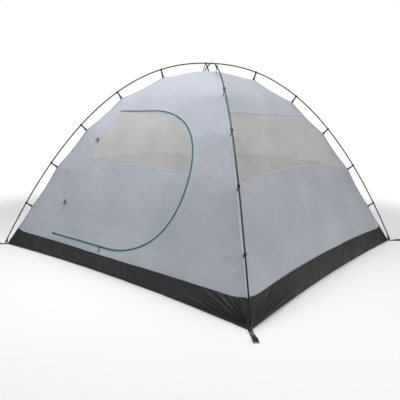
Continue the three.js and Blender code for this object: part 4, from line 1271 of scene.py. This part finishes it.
TAB_WIDTH = 0.022
PIN_Z = BUCKLE_PIN.z


def build_corners():
    for leg, (sign_x, sign_y) in enumerate(LEG_SIGNS):
        name = LEGS[leg]
        foot = np.array([sign_x * HALF_X, sign_y * HALF_Y, 0.0])
        outward = unit(foot)
        across = np.array([-outward[1], outward[0], 0.0])

        def at(reach, height):
            return foot + outward * reach + UP * height

        wall_line = [at(-0.026, 0.050), at(-0.0235, 0.038), at(-0.0205, 0.020), at(-0.0175, 0.0045)]
        line = np.array(wall_line + [at(-0.0145, 0.0016), at(-0.008, 0.0008), at(0.012, 0.0008),
                                     at(0.028, 0.0012), at(0.034, 0.0022)])
        line = resampled(line, 0.003)
        tangents = unit(np.gradient(line, axis=0))
        normals = np.cross(across, tangents)
        normals *= np.sign(normals[:, 2] + normals @ outward + 1e-9)[:, None]
        strap = strip_mesh(line, normals, TAB_WIDTH, 0.0017)
        loop_angles = np.linspace(-0.5 * math.pi, 1.35 * math.pi, 22)
        pin = at(TAB_REACH, PIN_Z)
        loop = np.array([
            pin + 0.0031 * (math.cos(a) * outward + math.sin(a) * UP) for a in loop_angles
        ])
        loop_normals = unit(loop - pin)
        fold = [
            strip_mesh(loop + across * shift, loop_normals, 0.0022, 0.0012)
            for shift in (-0.0096, 0.0096)
        ]
        whole = strip_object(name + "_corner_strap", WEBBING, "webbing", "tent", strap, *fold)
        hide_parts(name + "_corner_tab")
        points, faces = ring_mesh(0.0062, 0.0016)
        eyelet = mesh_object(name + "_eyelet", points + at(0, 0.0026), faces, METAL)
        own(eyelet, "tent", "pole")
        bar = np.array([pin + across * x for x in np.linspace(-0.0112, 0.0112, 9)])
        pin_piece = mesh_object(name + "_tab_bar", *tube_mesh(bar, 0.0012, 12), METAL)
        own(pin_piece, "tent", "pole")


# ---- Toggles' loops ----
def build_toggle_loops():
    """A webbing loop sewn to the hinge seam for each toggle."""
    for label, height in zip(("upper", "lower"), TOGGLE_HEIGHTS):
        toggle = joint(f"toggle_{label}_swing")
        pin = np.array(toggle["pos_m"])
        x = hinge_x(height) - 0.018
        s = float(DOOR_WALL.s_at(height))
        base = DOOR_WALL.points([x], [s])[0]
        normal = DOOR_WALL.normals([x], [s])[0]
        low = base - 0.010 * UP
        line = resampled(np.array([
            low - normal * 0.0005, base + (pin - base) * 0.55 - 0.004 * UP,
            pin + normal * 0.0022 - 0.0014 * UP, pin + normal * 0.0016 + 0.0022 * UP,
            base + (pin - base) * 0.5 + 0.005 * UP, base + 0.012 * UP - normal * 0.0005,
        ]), 0.002)
        side = np.array([1.0, 0.0, 0.0])
        normals = np.cross(side, unit(np.gradient(line, axis=0)))
        loops = [strip_mesh(line + side * shift, normals, 0.0024, 0.0010) for shift in (-0.0046, 0.0046)]
        strip_object(f"toggle_loop_{label}", WEBBING, "webbing", "tent", *loops)
        bar = np.array([pin + side * reach for reach in np.linspace(-0.006, 0.006, 5)])
        own(mesh_object(f"toggle_bar_{label}", *tube_mesh(bar, 0.0011, 10), BLACK), "tent", "plastic")


# ---- CAD pieces that keep their shape ----
def finish_cad(node, material, bevel=0.0005):
    piece = frame["nodes"][node]
    piece.data.materials.clear()
    piece.data.materials.append(material)
    edge = piece.modifiers.new("bevel", "BEVEL")
    edge.width = bevel
    edge.segments = 2
    edge.limit_method = "ANGLE"
    edge.angle_limit = math.radians(35)


def finish_small_parts():
    finish_cad("zipper_slider", METAL_DARK, 0.0003)
    for side in ("outside", "inside"):
        finish_cad("zipper_pull_" + side, METAL_DARK, 0.0003)
    for place in ("upper", "lower"):
        finish_cad("door_toggle_" + place, BLACK, 0.0006)
    for name in LEGS:
        finish_cad(name + "_fly_buckle", BLACK, 0.0007)


# ---- Light and floor ----
def area_light(name, place, target, size, power, colour):
    data = bpy.data.lights.new(name, "AREA")
    data.shape = "RECTANGLE"
    data.size, data.size_y = size
    data.energy = power
    data.color = colour
    light = bpy.data.objects.new(name, data)
    bpy.context.scene.collection.objects.link(light)
    light.location = place
    light.rotation_euler = (Vector(target) - Vector(place)).to_track_quat("-Z", "Y").to_euler()
    return light


def build_world():
    """Even soft light, seen as a white backdrop."""
    world = bpy.data.worlds.new("studio")
    world.use_nodes = True
    tree = world.node_tree
    ambient = tree.nodes["Background"]
    ambient.inputs["Color"].default_value = (0.95, 0.97, 1.0, 1.0)
    ambient.inputs["Strength"].default_value = 0.30
    backdrop = tree.nodes.new("ShaderNodeBackground")
    backdrop.inputs["Color"].default_value = (1.0, 1.0, 1.0, 1.0)
    rays = tree.nodes.new("ShaderNodeLightPath")
    mix = tree.nodes.new("ShaderNodeMixShader")
    tree.links.new(rays.outputs["Is Camera Ray"], mix.inputs[0])
    tree.links.new(ambient.outputs[0], mix.inputs[1])
    tree.links.new(backdrop.outputs[0], mix.inputs[2])
    tree.links.new(mix.outputs[0], tree.nodes["World Output"].inputs["Surface"])
    bpy.context.scene.world = world


def build_studio():
    build_world()
    area_light("key", (-0.50, -1.55, 3.3), (-0.1, -0.5, 1.0), (1.6, 1.6), 94, (0.95, 0.97, 1.0))
    area_light("fill", (4.3, -0.7, 2.6), (0.3, 0, 0.5), (3.0, 3.0), 108, (1.0, 1.0, 0.985))
    area_light("top", (0.0, 0.8, 4.6), (0, 0, 0.4), (3.5, 3.5), 100, (1.0, 1.0, 1.0))
    half = 4.0
    floor = mesh_object("studio_floor", [
        (-half, -half, -0.001), (half, -half, -0.001), (half, half, -0.001), (-half, half, -0.001),
    ], [(0, 1, 2, 3)], studio_floor_paint())
    bpy.context.scene.view_settings.view_transform = "Standard"


def studio_floor_paint():
    """Pale paper that fades out into the backdrop."""
    p = Painter("studio_paper")
    tone = p.ramp(p.noise(0.6), 0.2, 0.8, "#d2d2d2", "#d6d6d6")
    p.set(Base_Color=tone, Roughness=0.95, Specular_IOR_Level=0.1)
    reach = p.add("ShaderNodeVectorMath", {0: p.place.outputs["Object"]}, operation="LENGTH")
    fade = p.spread(reach.outputs["Value"], 1.9, 3.4, 1.0, 0.0, interpolation_type="SMOOTHSTEP")
    p.surface_mix(fade, p.add("ShaderNodeBsdfTransparent"), p.shader)
    return p.material


build_tub()
build_floor()
build_door_wall()
build_side_walls()
build_ridges()
build_door()
build_door_seam()
build_zipper()
build_pole("upper_pole", UPPER_POLE)
build_pole("lower_pole", LOWER_POLE)
build_clips()
build_peak_hook()
build_corners()
build_toggle_loops()
finish_small_parts()
build_studio()
